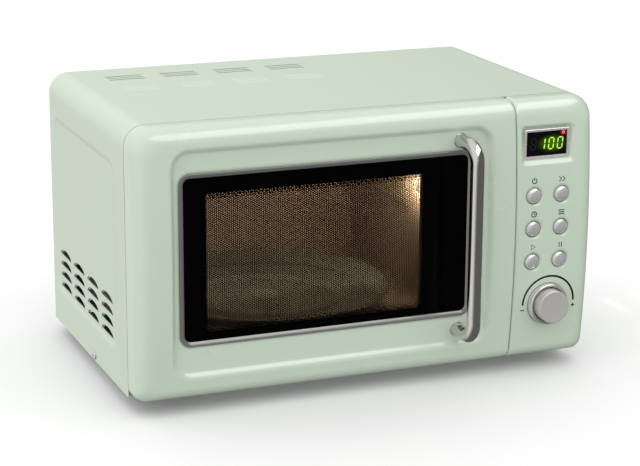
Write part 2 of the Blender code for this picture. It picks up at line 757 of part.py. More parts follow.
def handle_path():
    """Centre line of the handle: out of the door, round a bend, along the bar and back in."""
    low, high = HANDLE_FEET_Z
    foot_y = RECESS_Y - GAP
    arc_steps = 6
    lower = []
    for step in range(arc_steps + 1):
        turn = math.pi / 2 * step / arc_steps
        lower.append((
            HANDLE_BAR_Y + HANDLE_BEND * (1 - math.sin(turn)),
            low + HANDLE_BEND * (1 - math.cos(turn)),
        ))
    half = [(foot_y, low)] + lower
    upper = [(y, low + high - z) for y, z in half[::-1]]
    return [(HANDLE_X, y, z) for y, z in half + upper]


def tube_mesh(points, radius):
    """Closed bmesh of a round tube with filled ends, from a poly curve."""
    curve = bpy.data.curves.new("tube_path", "CURVE")
    curve.dimensions = "3D"
    curve.bevel_depth = radius
    curve.bevel_resolution = 3
    curve.use_fill_caps = True
    spline = curve.splines.new("POLY")
    spline.points.add(len(points) - 1)
    for point, place in zip(spline.points, points):
        point.co = (*place, 1.0)
    holder = bpy.data.objects.new("tube_path", curve)
    OVEN.objects.link(holder)
    evaluated = holder.evaluated_get(bpy.context.evaluated_depsgraph_get())
    mesh = bpy.data.meshes.new_from_object(evaluated)
    bm = bmesh.new()
    bm.from_mesh(mesh)
    bmesh.ops.remove_doubles(bm, verts=bm.verts[:], dist=0.00001)
    bpy.data.meshes.remove(mesh)
    bpy.data.objects.remove(holder)
    return bm


def build_handle():
    handle = add_part("handle", tube_mesh(handle_path(), HANDLE_RADIUS), CHROMED, DOOR, 50)
    stud_y = RECESS_Y + 1 * MM
    studs = [((HANDLE_X, stud_y, z), "Y", 3 * MM, 8 * MM) for z in HANDLE_FEET_Z]
    unite(handle, cylinder_mesh(studs, 16), "handle_studs")


def build_latch():
    """Sprung strip with an upper and a lower hook that reach through the front frame."""
    x0, x1 = LATCH_X
    low, high = LATCH_HOOKS_Z
    strip = (x0, x1, -10.5 * MM, -6.5 * MM, low - 8 * MM, high + 8 * MM)
    latch = box_part("door_latch", strip, CREAM_PLASTIC, LATCH)
    hooks = []
    for z in LATCH_HOOKS_Z:
        hooks.append((x0, x1, -7.5 * MM, 22 * MM, z - 3 * MM, z + 5 * MM))
        hooks.append((x0, x1, 17 * MM, 21 * MM, z - 5 * MM, z))
    unite(latch, box_mesh(hooks[0], hooks[2]), "latch_hooks")
    unite(latch, box_mesh(hooks[1], hooks[3]), "latch_noses")


# ---------------------------------------------------------------- control panel

def build_control_panel():
    radii = (SEAM_CORNER, LOWER_CORNER, COVER_RADIUS, SEAM_CORNER)
    bm = bmesh.new()
    rings = front_shell_rings(bm, PANEL_LEFT, WIDTH / 2, FILLET_SEAM, FILLET_SIDE, radii)
    cap_ladder(bm, rings[-1])
    panel = sheet_part("control_panel", bm, (0, -1, 0), SHELL, PAINT, CABINET)
    x0, x1, z0, z1 = grow(DISPLAY, 5.5 * MM)
    window = box_mesh((x0, x1, KNOB_BASE - THROUGH, KNOB_BASE + THROUGH, z0, z1))
    boolean(panel, add_cutter("display_cutter", window, CABINET))
    radius = BUTTON_RADIUS + 0.5 * MM
    holes = [((x, KNOB_BASE, z), "Y", radius, 2 * THROUGH) for z in BUTTON_Z for x in BUTTON_X]
    boolean(panel, add_cutter("button_hole_cutter", cylinder_mesh(holes), CABINET))
    centre = (KNOB_X, KNOB_BASE, KNOB_Z)
    hole = cylinder_mesh([(centre, "Y", KNOB_BEZEL_RADIUS + GAP, 2 * THROUGH)], 32)
    boolean(panel, add_cutter("knob_hole_cutter", hole, CABINET))


def build_display():
    ring_plate(
        "display_bezel", grow(DISPLAY, 2.5 * MM), 1.5 * MM, DISPLAY, 0.6 * MM, -28.6 * MM, -25.6 * MM,
        SILVER_PLASTIC, CABINET, side_steps=1,
    )
    x0, x1, z0, z1 = grow(DISPLAY, 1.5 * MM)
    box_part("display_lens", (x0, x1, -25.3 * MM, -20.3 * MM, z0, z1), DARK_GLASS, CABINET)


def build_buttons():
    stem = 3 * MM
    profile = [
        (0, 0), (2.6 * MM, -0.25 * MM), (5.0 * MM, -0.95 * MM), (6.6 * MM, -2.0 * MM),
        (BUTTON_RADIUS, -3.2 * MM), (BUTTON_RADIUS, -8.5 * MM), (stem, -9 * MM), (stem, -13 * MM),
        (0, -13 * MM),
    ]
    places = [(x, BUTTON_FRONT, z) for z in BUTTON_Z for x in BUTTON_X]
    for name, place in zip(BUTTON_NAMES, places):
        pivot = make_empty(f"{name}_axis", place, CABINET)
        turned_part(name, profile, place, "-Y", SILVER_PLASTIC, pivot, 20)


def build_knob():
    centre = (KNOB_X, KNOB_BASE, KNOB_Z)
    inner = 16.4 * MM
    outer = KNOB_BEZEL_RADIUS
    bezel = [
        (inner, 6 * MM), (17.6 * MM, 6.4 * MM), (outer - 0.5 * MM, 5.6 * MM), (outer, 4.2 * MM),
        (outer, -4 * MM), (inner, -4 * MM),
    ]
    turned_part("knob_bezel", bezel, centre, "-Y", CHROMED, CABINET, 32)
    height = 15.4 * MM
    shaft = 2.9 * MM
    cap = [
        (0, height), (12.6 * MM, height), (14.6 * MM, height - 0.5 * MM), (KNOB_RADIUS, height - 1.8 * MM),
        (KNOB_RADIUS, 0), (shaft, 0), (shaft, -5 * MM), (0, -5 * MM),
    ]
    turned_part("selector_knob", cap, centre, "-Y", BRUSHED, KNOB, 32)


def build_control_electronics():
    board_x = (146 * MM, 212 * MM)
    box_part("control_board", (*board_x, -19.7 * MM, -18.1 * MM, 38 * MM, 226 * MM), CIRCUIT_BOARD, CABINET)
    half = 6.5 * MM
    body = (KNOB_X - half, KNOB_X + half, -24.6 * MM, -20 * MM, KNOB_Z - half, KNOB_Z + half)
    box_part("encoder", body, GREY_PLASTIC, CABINET, 0.6 * MM)


# ---------------------------------------------------------------- works

def build_turntable():
    cx, cy = TABLE_CENTRE
    floor = CAVITY_Z[0]
    tray_base = floor + 2 * ROLLER_RADIUS + 2 * GAP
    thickness = 4 * MM
    profile = [
        (0, thickness), (104 * MM, thickness), (112 * MM, 6.5 * MM), (120.5 * MM, 13 * MM),
        (TABLE_RADIUS, 13 * MM), (TABLE_RADIUS, 11.5 * MM), (114 * MM, 3 * MM), (106 * MM, 0), (0, 0),
    ]
    turned_part("glass_turntable", profile, (cx, cy, tray_base), "Z", CLEAR_GLASS, TABLE, 40)
    coupler = [
        (0, tray_base - GAP), (13 * MM, tray_base - GAP), (15 * MM, floor + 5 * MM),
        (15 * MM, floor + 1.5 * MM), (5 * MM, floor + 1.5 * MM), (5 * MM, 20.3 * MM), (0, 20.3 * MM),
    ]
    turned_part("drive_coupler", coupler, (cx, cy, 0), "Z", CREAM_PLASTIC, TABLE, 20)
    motor_top = 20 * MM
    motor_base = 3 * MM
    edge = 1 * MM
    radius = 25 * MM
    motor = [
        (0, motor_top), (radius - edge, motor_top), (radius, motor_top - edge),
        (radius, motor_base + edge), (radius - edge, motor_base), (0, motor_base),
    ]
    turned_part("turntable_motor", motor, (cx, cy, 0), "Z", ZINC_PLATED, CABINET, 28)


def build_roller_ring():
    """Ring with three pins, each of which carries a roller between cavity floor and glass."""
    cx, cy = TABLE_CENTRE
    axle_z = CAVITY_Z[0] + GAP + ROLLER_RADIUS
    centre = (cx, cy, axle_z)
    inner, outer = 72 * MM, 79 * MM
    half = 1.8 * MM
    profile = [(inner, half), (outer, half), (outer, -half), (inner, -half)]
    ring = turned_part("roller_ring", profile, centre, "Z", CREAM_PLASTIC, RING, 40)
    angles = [math.tau * index / ROLLER_COUNT for index in range(ROLLER_COUNT)]
    pins = bmesh.new()
    pin_radius = 1.4 * MM
    for angle in angles:
        spoke = Matrix.Rotation(angle, 4, "Z") @ Matrix.Translation((84 * MM, 0, 0))
        bmesh.ops.create_cone(
            pins, cap_ends=True, segments=12, radius1=pin_radius, radius2=pin_radius, depth=14 * MM,
            matrix=Matrix.Translation(centre) @ spoke @ axis_matrix("X"),
        )
    unite(ring, pins, "roller_pins")
    bore = 1.8 * MM
    shoulder = 5.4 * MM
    wheel = [
        (bore, 2.5 * MM), (shoulder, 2.5 * MM), (ROLLER_RADIUS, 1.6 * MM), (ROLLER_RADIUS, -1.6 * MM),
        (shoulder, -2.5 * MM), (bore, -2.5 * MM),
    ]
    for index, angle in enumerate(angles):
        place = (cx + ROLLER_TRACK * math.cos(angle), cy + ROLLER_TRACK * math.sin(angle), axle_z)
        axle = make_empty(f"roller_{index + 1}_axis", place, RING)
        turned_part(f"roller_{index + 1}", wheel, place, "X", CREAM_PLASTIC, axle, 20, angle)


def build_fan():
    """Axial fan behind the cavity's right side: housing, motor with its shaft, and blades."""
    cx, cy, cz = FAN_X, FAN_Y, FAN_Z
    centre = (cx, cy, cz)
    x_range = (cx - FAN_HALF, cx + FAN_HALF)
    z_range = (cz - FAN_HALF, cz + FAN_HALF)
    housing_box = (*x_range, cy - 10 * MM, cy + 8 * MM, *z_range)
    housing = box_part("fan_housing", housing_box, GREY_PLASTIC, CABINET)
    bore = cylinder_mesh([(centre, "Y", FAN_RADIUS + 3 * MM, 4 * THROUGH)], 32)
    boolean(housing, add_cutter("fan_bore_cutter", bore, CABINET))

    hub_radius = 10 * MM
    shaft = 2.6 * MM
    hub = [
        (0, 7 * MM), (hub_radius - 1 * MM, 6 * MM), (hub_radius, 4 * MM), (hub_radius, -6 * MM),
        (shaft, -6 * MM), (shaft, -12 * MM), (0, -12 * MM),
    ]
    blade_wheel = turned_part("fan_blade", hub, centre, "-Y", CREAM_PLASTIC, FAN, 20)
    blades = bmesh.new()
    root = 8 * MM
    pitch = Matrix.Rotation(BLADE_PITCH, 4, "Z")
    shape = Matrix.Diagonal((FAN_RADIUS * 0.42, 1.4 * MM, FAN_RADIUS - root, 1))
    reach = Matrix.Translation((0, 0, (FAN_RADIUS + root) / 2))
    for index in range(BLADE_COUNT):
        spoke = Matrix.Rotation(math.tau * index / BLADE_COUNT, 4, "Y")
        matrix = Matrix.Translation(centre) @ spoke @ reach @ pitch @ shape
        bmesh.ops.create_cube(blades, size=1.0, matrix=matrix)
    unite(blade_wheel, blades, "fan_blades")

    half_x = 22 * MM
    half_z = 16 * MM
    body = (cx - half_x, cx + half_x, cy + 12.5 * MM, cy + 24 * MM, cz - half_z, cz + half_z)
    motor = box_part("fan_motor", body, ZINC_PLATED, CABINET, 2 * MM)
    strap = box_mesh((*x_range, cy + 16 * MM, cy + 18 * MM, cz - 6 * MM, cz + 6 * MM))
    unite(motor, strap, "fan_motor_strap")


def build_microwave_circuit():
    """Magnetron on its waveguide, transformer and capacitor, all right of the cavity."""
    wall = CAVITY_X[1] + SHEET + GAP
    guide_depth = 20 * MM
    guide = (wall, wall + guide_depth, 112 * MM, 202 * MM, 110 * MM, 170 * MM)
    waveguide = box_part("waveguide", guide, GALVANISED, CABINET)
    x0, x1, y0, y1, z0, z1 = guide
    steel = 1 * MM
    hollow = box_mesh((x0 - steel, x1 - steel, y0 + steel, y1 - steel, z0 + steel, z1 - steel))
    boolean(waveguide, add_cutter("waveguide_hollow", hollow, CABINET))

    side = x1 + GAP
    front, rear = 112 * MM, 190 * MM
    magnetron = box_part(
        "magnetron", (side, side + 62 * MM, front, rear, 106 * MM, 174 * MM), ZINC_PLATED, CABINET
    )
    groove = 4 * MM
    first_groove = side + 12 * MM
    grooves = []
    for fin in range(5):
        x = first_groove + fin * 2 * groove
        grooves.append((x, x + groove, front - 1 * MM, front + 24 * MM, 112 * MM, 168 * MM))
    boolean(magnetron, add_cutter("magnetron_fin_cutter", box_mesh(*grooves), CABINET))

    core_box = (120 * MM, 196 * MM, 50 * MM, 112 * MM, 2 * MM, 72 * MM)
    core = box_part("transformer", core_box, DARK_STEEL, CABINET)
    windings = box_mesh((130 * MM, 186 * MM, 40 * MM, 122 * MM, 14 * MM, 60 * MM))
    unite(core, windings, "transformer_windings")
    can = (112 * MM, 160 * MM, 175 * MM, 205 * MM, 2 * MM, 86 * MM)
    box_part("capacitor", can, ZINC_PLATED, CABINET, 8 * MM)


def build_lamp():
    """Bulb beside the cavity, whose round end looks in through the lamp's port."""
    y0, y1, z0, z1 = LAMP_PORT
    centre = (CAVITY_X[1] + LAMP_OFFSET, (y0 + y1) / 2, (z0 + z1) / 2)
    base = -9 * MM
    bulb = [
        (0, 14 * MM), (5 * MM, 12.5 * MM), (8 * MM, 8 * MM), (8 * MM, 3 * MM), (6 * MM, -2 * MM),
        (6 * MM, base), (0, base),
    ]
    turned_part("cavity_lamp", bulb, centre, "-X", WARM_GLASS, CABINET, 20)


def build_interlock():
    """Plastic latch board behind the front frame, with a microswitch by each hook."""
    x0 = LATCH_X[1] + 6 * MM
    low, high = LATCH_HOOKS_Z
    board = (x0, x0 + 2.5 * MM, FRAME_Y + 1.5 * MM, 34 * MM, low - 14 * MM, high + 16 * MM)
    box_part("latch_bracket", board, CREAM_PLASTIC, CABINET)
    for name, z in (("lower_switch", low), ("upper_switch", high)):
        body = (x0 + 2.8 * MM, x0 + 13 * MM, 9 * MM, 31 * MM, z - 6 * MM, z + 8 * MM)
        box_part(name, body, BLACK_PLASTIC, CABINET, 0.6 * MM)


# ---------------------------------------------------------------- assembly

clear_scene()
OVEN = new_collection("microwave_oven")
CUTTERS = new_collection("cutters")

PAINT = make_material("mint_paint", MINT, 0.25)
FRAME_PAINT = make_material("frame_paint", CREAM, 0.4)
CAVITY_PAINT = make_material("cavity_paint", (0.42, 0.40, 0.37), 0.4)
GALVANISED = make_material("galvanised_steel", ZINC, 0.45, 1.0)
ZINC_PLATED = make_material("zinc_plated_steel", ZINC, 0.35, 1.0)
SCREW_STEEL = make_material("screw_steel", CHROME, 0.25, 1.0)
BLACK_STEEL = make_material("black_steel", BLACK, 0.4)
DARK_STEEL = make_material("laminated_steel", GREY, 0.6, 0.5)
CHROMED = make_material("chrome", CHROME, 0.08, 1.0)
BRUSHED = make_material("brushed_knob", STEEL, 0.35, 1.0)
SILVER_PLASTIC = make_material("silver_plastic", STEEL, 0.3, 0.6)
BLACK_PLASTIC = make_material("black_plastic", BLACK, 0.5)
GREY_PLASTIC = make_material("grey_plastic", GREY, 0.5)
CREAM_PLASTIC = make_material("cream_plastic", CREAM, 0.5)
RUBBER = make_material("foot_rubber", BLACK, 0.8)
MICA_SHEET = make_material("mica", MICA, 0.6)
CIRCUIT_BOARD = make_material("circuit_board", BOARD, 0.5)
DARK_GLASS = make_material("black_glass", BLACK, 0.05)
CLEAR_GLASS = make_material("clear_glass", CLEAR, 0.05, 0.0, 0.35)
CLEAR_PLASTIC = make_material("clear_film", CLEAR, 0.15, 0.0, 0.3)
WARM_GLASS = make_material("lamp_glass", (1.0, 0.85, 0.5), 0.1)

CABINET = make_empty("cabinet_datum", (0, 0, 0))
DOOR = make_empty("door_axis", (HINGE_X, HINGE_Y, MID_Z), CABINET)
LATCH = make_empty("latch_axis", (LATCH_X[0], -8 * MM, MID_Z), DOOR)
KNOB = make_empty("knob_axis", (KNOB_X, KNOB_BASE, KNOB_Z), CABINET)
TABLE = make_empty("turntable_axis", (*TABLE_CENTRE, CAVITY_Z[0]), CABINET)
RING = make_empty("roller_ring_axis", (*TABLE_CENTRE, CAVITY_Z[0] + GAP + ROLLER_RADIUS), CABINET)
FAN = make_empty("fan_axis", (FAN_X, FAN_Y, FAN_Z), CABINET)

screw_hole = cylinder_mesh([((0, *COVER_SCREW), "X", SCREW_HOLE_RADIUS, WIDTH * 1.2)], 16)
SCREW_HOLES = add_cutter("screw_hole_cutter", screw_hole, CABINET)

build_outer_cover()
build_cover_screws()
build_base_plate()
build_feet()
build_rear_panel()
build_cord_gland()
build_front_frame()
build_cavity()
build_hinge_brackets()
build_door_shell()
build_window()
build_door_pan()
build_inner_door()
build_hinge_bushes()
build_handle()
build_latch()
build_control_panel()
build_display()
build_buttons()
build_knob()
build_control_electronics()
build_turntable()
build_roller_ring()
build_fan()
build_microwave_circuit()
build_lamp()
build_interlock()
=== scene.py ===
# Looks of a rounded retro countertop microwave oven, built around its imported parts.
#
# Metres, +Z up. Pieces are laid out in cabinet coordinates: x = 0 at mid-width, y = 0 at the
# seam between cabinet and door, z = 0 at the underside of the cabinet. DATUM carries them to
# the frame. The door faces -Y.
import math

import bmesh
import bpy
from mathutils import Matrix, Vector


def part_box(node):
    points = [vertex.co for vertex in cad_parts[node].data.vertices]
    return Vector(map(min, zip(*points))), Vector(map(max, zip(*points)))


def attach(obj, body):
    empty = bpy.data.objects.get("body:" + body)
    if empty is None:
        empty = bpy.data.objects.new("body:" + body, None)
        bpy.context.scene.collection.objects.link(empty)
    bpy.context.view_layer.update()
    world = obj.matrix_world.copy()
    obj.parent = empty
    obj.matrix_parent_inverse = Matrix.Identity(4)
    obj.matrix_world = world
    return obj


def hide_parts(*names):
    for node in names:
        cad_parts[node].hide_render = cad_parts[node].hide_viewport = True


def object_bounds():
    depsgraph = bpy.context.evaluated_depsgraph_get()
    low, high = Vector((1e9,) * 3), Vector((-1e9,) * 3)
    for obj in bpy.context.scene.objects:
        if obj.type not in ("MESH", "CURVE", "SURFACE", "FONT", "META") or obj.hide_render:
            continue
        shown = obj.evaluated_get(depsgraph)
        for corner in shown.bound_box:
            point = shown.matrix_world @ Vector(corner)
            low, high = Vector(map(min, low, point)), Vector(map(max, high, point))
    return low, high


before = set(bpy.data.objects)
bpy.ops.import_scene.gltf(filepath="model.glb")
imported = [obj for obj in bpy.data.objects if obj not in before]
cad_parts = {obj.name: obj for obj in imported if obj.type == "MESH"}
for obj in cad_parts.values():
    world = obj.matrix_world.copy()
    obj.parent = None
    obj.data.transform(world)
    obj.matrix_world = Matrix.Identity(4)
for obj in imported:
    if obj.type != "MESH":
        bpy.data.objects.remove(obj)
CAD_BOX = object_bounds()

MM = 0.001
GAP = 0.3 * MM
COVER_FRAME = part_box("outer_cover")
DATUM = Vector((0.0, COVER_FRAME[0].y - GAP, COVER_FRAME[0].z))


def node_box(node):
    """Lowest and highest corner of a CAD node, in cabinet coordinates."""
    low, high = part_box(node)
    return low - DATUM, high - DATUM


def front_rectangle(node, grow=0.0):
    """A node's extent seen from the front, as (x0, x1, z0, z1)."""
    low, high = node_box(node)
    return low.x - grow, high.x + grow, low.z - grow, high.z + grow


def centre_of(node):
    low, high = node_box(node)
    return (low + high) / 2


# Driving sizes, read from the frame
COVER_HIGH = node_box("outer_cover")[1]
HALF_WIDTH = COVER_HIGH.x
HEIGHT = COVER_HIGH.z
COVER_DEPTH = COVER_HIGH.y + GAP
MID_Z = HEIGHT / 2
FRONT_DEPTH = -node_box("door_shell")[0].y
DOOR_RIGHT = node_box("door_shell")[1].x
PANEL_LEFT = node_box("control_panel")[0].x
WINDOW = front_rectangle("door_glass")
BUTTONS = ("power_button", "express_button", "clock_button", "menu_button", "start_button", "stop_button")
KNOB = centre_of("selector_knob")
TABLE = centre_of("glass_turntable")

# Shapes of the painted shell
FRONT_BOW = 7.9 * MM          # how far the front falls back at its top and bottom edges
SEAM = 1.0 * MM
SHEET = 0.8 * MM
SHELL = 1.6 * MM
POCKET_DEPTH = 3.5 * MM       # of the display's place in the control panel
COVER_RADIUS = 18.6 * MM
FILLET_SIDE = 16 * MM
FILLET_TOP = 15.5 * MM
FILLET_BOTTOM = 11 * MM
FILLET_SEAM = 2.5 * MM
LOWER_CORNER = 10 * MM
RECESS = (-182.5 * MM, 111.7 * MM, 25 * MM, 219.7 * MM)
RECESS_Y = -23 * MM
RECESS_STEP = 7.5 * MM
RECESS_RADIUS = 13 * MM
WINDOW_RADIUS = 7 * MM
TRIM_GROWTH = 3.3 * MM        # from the glass out to the edge of its trim
LIP_GROWTH = 6.2 * MM         # from the glass out to where the recess starts to dip to the trim
LIP_DEPTH = 1.1 * MM
GLASS_FRONT = -21.6 * MM
CLEAR_ZONE = (-153.4 * MM, 50.7 * MM, 58.5 * MM, 183.7 * MM)

# Openings of the cover
LOUVRE_Y = (207 * MM, 160 * MM, 113 * MM, 66 * MM)
LOUVRE_Z = (71.5 * MM, 60.7 * MM, 49.9 * MM, 39.1 * MM)
LOUVRE_WIDTH = 38 * MM
LOUVRE_HEIGHT = 6.3 * MM
SLIT_X = (-157.5 * MM, -104 * MM, -50.5 * MM, 3 * MM)
SLIT_Y = (196 * MM, 204 * MM, 212 * MM)
SLIT_LENGTH = 35 * MM
SLIT_WIDTH = 3.4 * MM
CUT_REACH = 10 * MM           # above and below the top, for the cutter of its slits
SIDE_REACH = 300 * MM         # to both sides, for the cutter of the louvres
RIB_SHIFT = (2 * MM, -50 * MM)   # from a group of slits to its group of blind ribs
EMBOSS = (32 * MM, 238 * MM, 31 * MM, 206 * MM)
EMBOSS_RADIUS = 14 * MM
EMBOSS_DEPTH = 1.1 * MM
EMBOSS_STEP = 6 * MM

# Perforated screen
HOLE_PITCH = 2.008 * MM
HOLE_RADIUS = 0.66 * MM
SCREEN_OPENING = (-158 * MM, 55.5 * MM, 55 * MM, 187 * MM)
FRINGE_PITCH = 2.6 * MM       # of the dots along the printed edge of the window
FRINGE_RADII = (1.25 * MM, 1.0 * MM, 0.75 * MM)


# ---------------------------------------------------------------- materials

def add_node(tree, kind, inputs=None, **settings):
    """A shader node with its settings, and with sockets linked or values set by input name."""
    node = tree.nodes.new(kind)
    for key, value in settings.items():
        setattr(node, key, value)
    for key, value in (inputs or {}).items():
        if isinstance(value, bpy.types.NodeSocket):
            tree.links.new(value, node.inputs[key])
        else:
            node.inputs[key].default_value = value
    return node


def start_material(name, **values):
    """A material with one Principled shader; values are its sockets, with _ for a space."""
    material = bpy.data.materials.new(name)
    material.use_nodes = True
    shader = material.node_tree.nodes["Principled BSDF"]
    for key, value in values.items():
        if isinstance(value, tuple) and len(value) == 3:
            value = (*value, 1.0)
        shader.inputs[key.replace("_", " ")].default_value = value
    return material, material.node_tree, shader


def object_place(tree, stretch=(1, 1, 1)):
    """Object coordinates, stretched so that a pattern can run along one direction."""
    coordinates = add_node(tree, "ShaderNodeTexCoord")
    mapping = add_node(tree, "ShaderNodeMapping", {"Vector": coordinates.outputs["Object"]})
    mapping.inputs["Scale"].default_value = stretch
    return mapping.outputs["Vector"]


def noise(tree, scale, detail=3.0, stretch=(1, 1, 1), roughness=0.5):
    place = object_place(tree, stretch)
    node = add_node(tree, "ShaderNodeTexNoise", {"Vector": place, "Scale": scale, "Detail": detail})
    node.inputs["Roughness"].default_value = roughness
    return node.outputs["Fac"]


def remap(tree, value, low, high, from_low=0.3, from_high=0.7):
    node = add_node(tree, "ShaderNodeMapRange", {"Value": value, "To Min": low, "To Max": high})
    node.inputs["From Min"].default_value = from_low
    node.inputs["From Max"].default_value = from_high
    return node.outputs["Result"]


def mix_colour(tree, factor, first, second):
    node = add_node(tree, "ShaderNodeMix", {"Factor": factor}, data_type="RGBA")
    for socket, colour in ((node.inputs[6], first), (node.inputs[7], second)):
        if isinstance(colour, bpy.types.NodeSocket):
            tree.links.new(colour, socket)
        else:
            socket.default_value = (*colour, 1.0)
    return node.outputs[2]


def arithmetic(tree, operation, first, second):
    return add_node(tree, "ShaderNodeMath", {0: first, 1: second}, operation=operation).outputs[0]


def add_bump(tree, shader, height, strength, distance=0.3 * MM):
    bump = add_node(tree, "ShaderNodeBump", {"Height": height, "Strength": strength, "Distance": distance})
    tree.links.new(bump.outputs["Normal"], shader.inputs["Normal"])
    return bump


def tint(tree, shader, factor, first, second):
    """Let the base colour go from the first to the second colour with a factor."""
    tree.links.new(mix_colour(tree, factor, first, second), shader.inputs["Base Color"])


def gloss(tree, shader, value, *span):
    """Let the roughness follow a value, over the span that remap takes."""
    tree.links.new(remap(tree, value, *span), shader.inputs["Roughness"])


def scaled(colour, factor):
    return tuple(channel * factor for channel in colour)


def gloss_paint(name, colour, roughness=0.3, peel=0.05, coat=0.35):
    """Sprayed and baked paint: an even colour that drifts a little, with fine orange peel."""
    material, tree, shader = start_material(name, Coat_Weight=coat, Coat_Roughness=0.12, IOR=1.45)
    drift = noise(tree, 5.0, 0.0)
    tint(tree, shader, drift, scaled(colour, 0.992), scaled(colour, 1.008))
    smear = noise(tree, 25.0, 1.0)
    gloss(tree, shader, smear, roughness - 0.015, roughness + 0.015)
    add_bump(tree, shader, noise(tree, 900.0, 2.0), peel, 0.05 * MM)
    return material


def bright_metal(name, colour, roughness, stretch=(1, 1, 1), grain=0.03, scale=500.0, metallic=1.0):
    """Plated or brushed metal; stretch below 1 along a direction draws the grain out along it."""
    material, tree, shader = start_material(name, Metallic=metallic)
    cloud = noise(tree, 30.0, 3.0)
    tint(tree, shader, cloud, scaled(colour, 0.93), scaled(colour, 1.05))
    lines = noise(tree, scale, 4.0, stretch)
    gloss(tree, shader, lines, roughness * 0.8, roughness * 1.25)
    add_bump(tree, shader, lines, grain, 0.05 * MM)
    return material


def spangled_steel(name):
    """Galvanised sheet with its soft crystal pattern."""
    material, tree, shader = start_material(name, Metallic=0.6)
    cells = add_node(tree, "ShaderNodeTexVoronoi", {"Vector": object_place(tree), "Scale": 110.0})
    value = add_node(tree, "ShaderNodeSeparateColor", {"Color": cells.outputs["Color"]}).outputs["Red"]
    tint(tree, shader, value, (0.58, 0.59, 0.59), (0.66, 0.67, 0.67))
    gloss(tree, shader, value, 0.42, 0.48, 0.0, 1.0)
    add_bump(tree, shader, noise(tree, 220.0, 3.0), 0.04)
    return material


def moulded_plastic(name, colour, roughness=0.45, texture=0.08, scale=1400.0):
    """Injection moulding with a fine spark-eroded texture."""
    material, tree, shader = start_material(name, IOR=1.46)
    drift = noise(tree, 25.0, 3.0)
    tint(tree, shader, drift, scaled(colour, 0.92), scaled(colour, 1.06))
    gloss(tree, shader, noise(tree, 120.0), roughness - 0.06, roughness + 0.06)
    add_bump(tree, shader, noise(tree, scale, 2.0), texture, 0.08 * MM)
    return material


def rubber(name):
    material, tree, shader = start_material(name, IOR=1.5)
    dust = noise(tree, 60.0, 5.0)
    tint(tree, shader, dust, (0.016, 0.016, 0.017), (0.035, 0.034, 0.033))
    gloss(tree, shader, dust, 0.7, 0.9)
    add_bump(tree, shader, noise(tree, 700.0), 0.2, 0.1 * MM)
    return material


def speckled_enamel(name, colour):
    """Cavity paint: warm grey with fine darker flecks."""
    material, tree, shader = start_material(name, Coat_Weight=0.2, Coat_Roughness=0.2)
    flecks = remap(tree, noise(tree, 1100.0, 2.0), 0.0, 1.0, 0.52, 0.66)
    tint(tree, shader, flecks, colour, scaled(colour, 0.55))
    gloss(tree, shader, noise(tree, 60.0), 0.3, 0.45)
    add_bump(tree, shader, noise(tree, 800.0), 0.05, 0.05 * MM)
    return material


def thin_glass(name, colour, opacity, roughness=0.04, specular=0.5):
    """A pane that shows what is behind it, with faint wipe marks in its gloss."""
    material, tree, shader = start_material(name, Alpha=opacity, IOR=1.5, Specular_IOR_Level=specular)
    drift = noise(tree, 6.0, 3.0)
    tint(tree, shader, drift, scaled(colour, 0.9), scaled(colour, 1.1))
    wipe = noise(tree, 35.0, 4.0, (0.3, 1, 1))
    gloss(tree, shader, wipe, roughness, roughness * 2.0)
    return material


def black_gloss(name, specular=0.12, roughness=0.08):
    """Black enamel printed on the back of glass."""
    material, tree, shader = start_material(name, Specular_IOR_Level=specular)
    drift = noise(tree, 30.0, 4.0)
    tint(tree, shader, drift, (0.0008, 0.0008, 0.0009), (0.002, 0.002, 0.002))
    gloss(tree, shader, noise(tree, 80.0), roughness, roughness * 1.6)
    return material


def glowing(name, colour, strength, core=0.0):
    """A lit part; its light falls off a little in noise so that it isn't one flat colour."""
    material, tree, shader = start_material(name, Roughness=0.3, Emission_Strength=strength)
    flicker = noise(tree, 500.0, 2.0)
    lit = mix_colour(tree, flicker, scaled(colour, 0.85), colour)
    tree.links.new(lit, shader.inputs["Emission Color"])
    tint(tree, shader, flicker, scaled(colour, core), scaled(colour, core * 0.8))
    return material


def display_glass(name, spots):
    """Smoked lens that scatters the light of what glows behind it.

    A spot is (x, z, half width, half height, colour), in the frame's coordinates.
    """
    material, tree, shader = start_material(
        name, Roughness=0.12, Specular_IOR_Level=0.25, Emission_Strength=1.0)
    place = add_node(tree, "ShaderNodeSeparateXYZ", {"Vector": object_place(tree)})
    total = None
    for x, z, half_width, half_height, colour in spots:
        parts = []
        for socket, middle, half in (("X", x, half_width), ("Z", z, half_height)):
            away = arithmetic(tree, "SUBTRACT", place.outputs[socket], middle)
            share = arithmetic(tree, "DIVIDE", away, half)
            parts.append(arithmetic(tree, "MULTIPLY", share, share))
        distance = arithmetic(tree, "ADD", parts[0], parts[1])
        glow = remap(tree, distance, 1.0, 0.0, 0.0, 1.0)
        soft = arithmetic(tree, "POWER", glow, 2.0)
        lit = mix_colour(tree, soft, (0, 0, 0), colour)
        if total is None:
            total = lit
        else:
            node = add_node(tree, "ShaderNodeMix", {"Factor": 1.0}, data_type="RGBA", blend_type="ADD")
            tree.links.new(total, node.inputs[6])
            tree.links.new(lit, node.inputs[7])
            total = node.outputs[2]
    tree.links.new(total, shader.inputs["Emission Color"])
    dust = noise(tree, 90.0, 3.0)
    tint(tree, shader, dust, (0.001, 0.001, 0.001), (0.003, 0.003, 0.003))
    return material


def clear_glass(name, colour=(0.86, 0.95, 0.92)):
    """Pressed glass, tinted slightly, with faint waviness."""
    material, tree, shader = start_material(name, Transmission_Weight=0.9, Roughness=0.03, IOR=1.47)
    tint(tree, shader, noise(tree, 12.0), scaled(colour, 0.96), colour)
    add_bump(tree, shader, noise(tree, 60.0, 2.0), 0.05, 0.2 * MM)
    return material


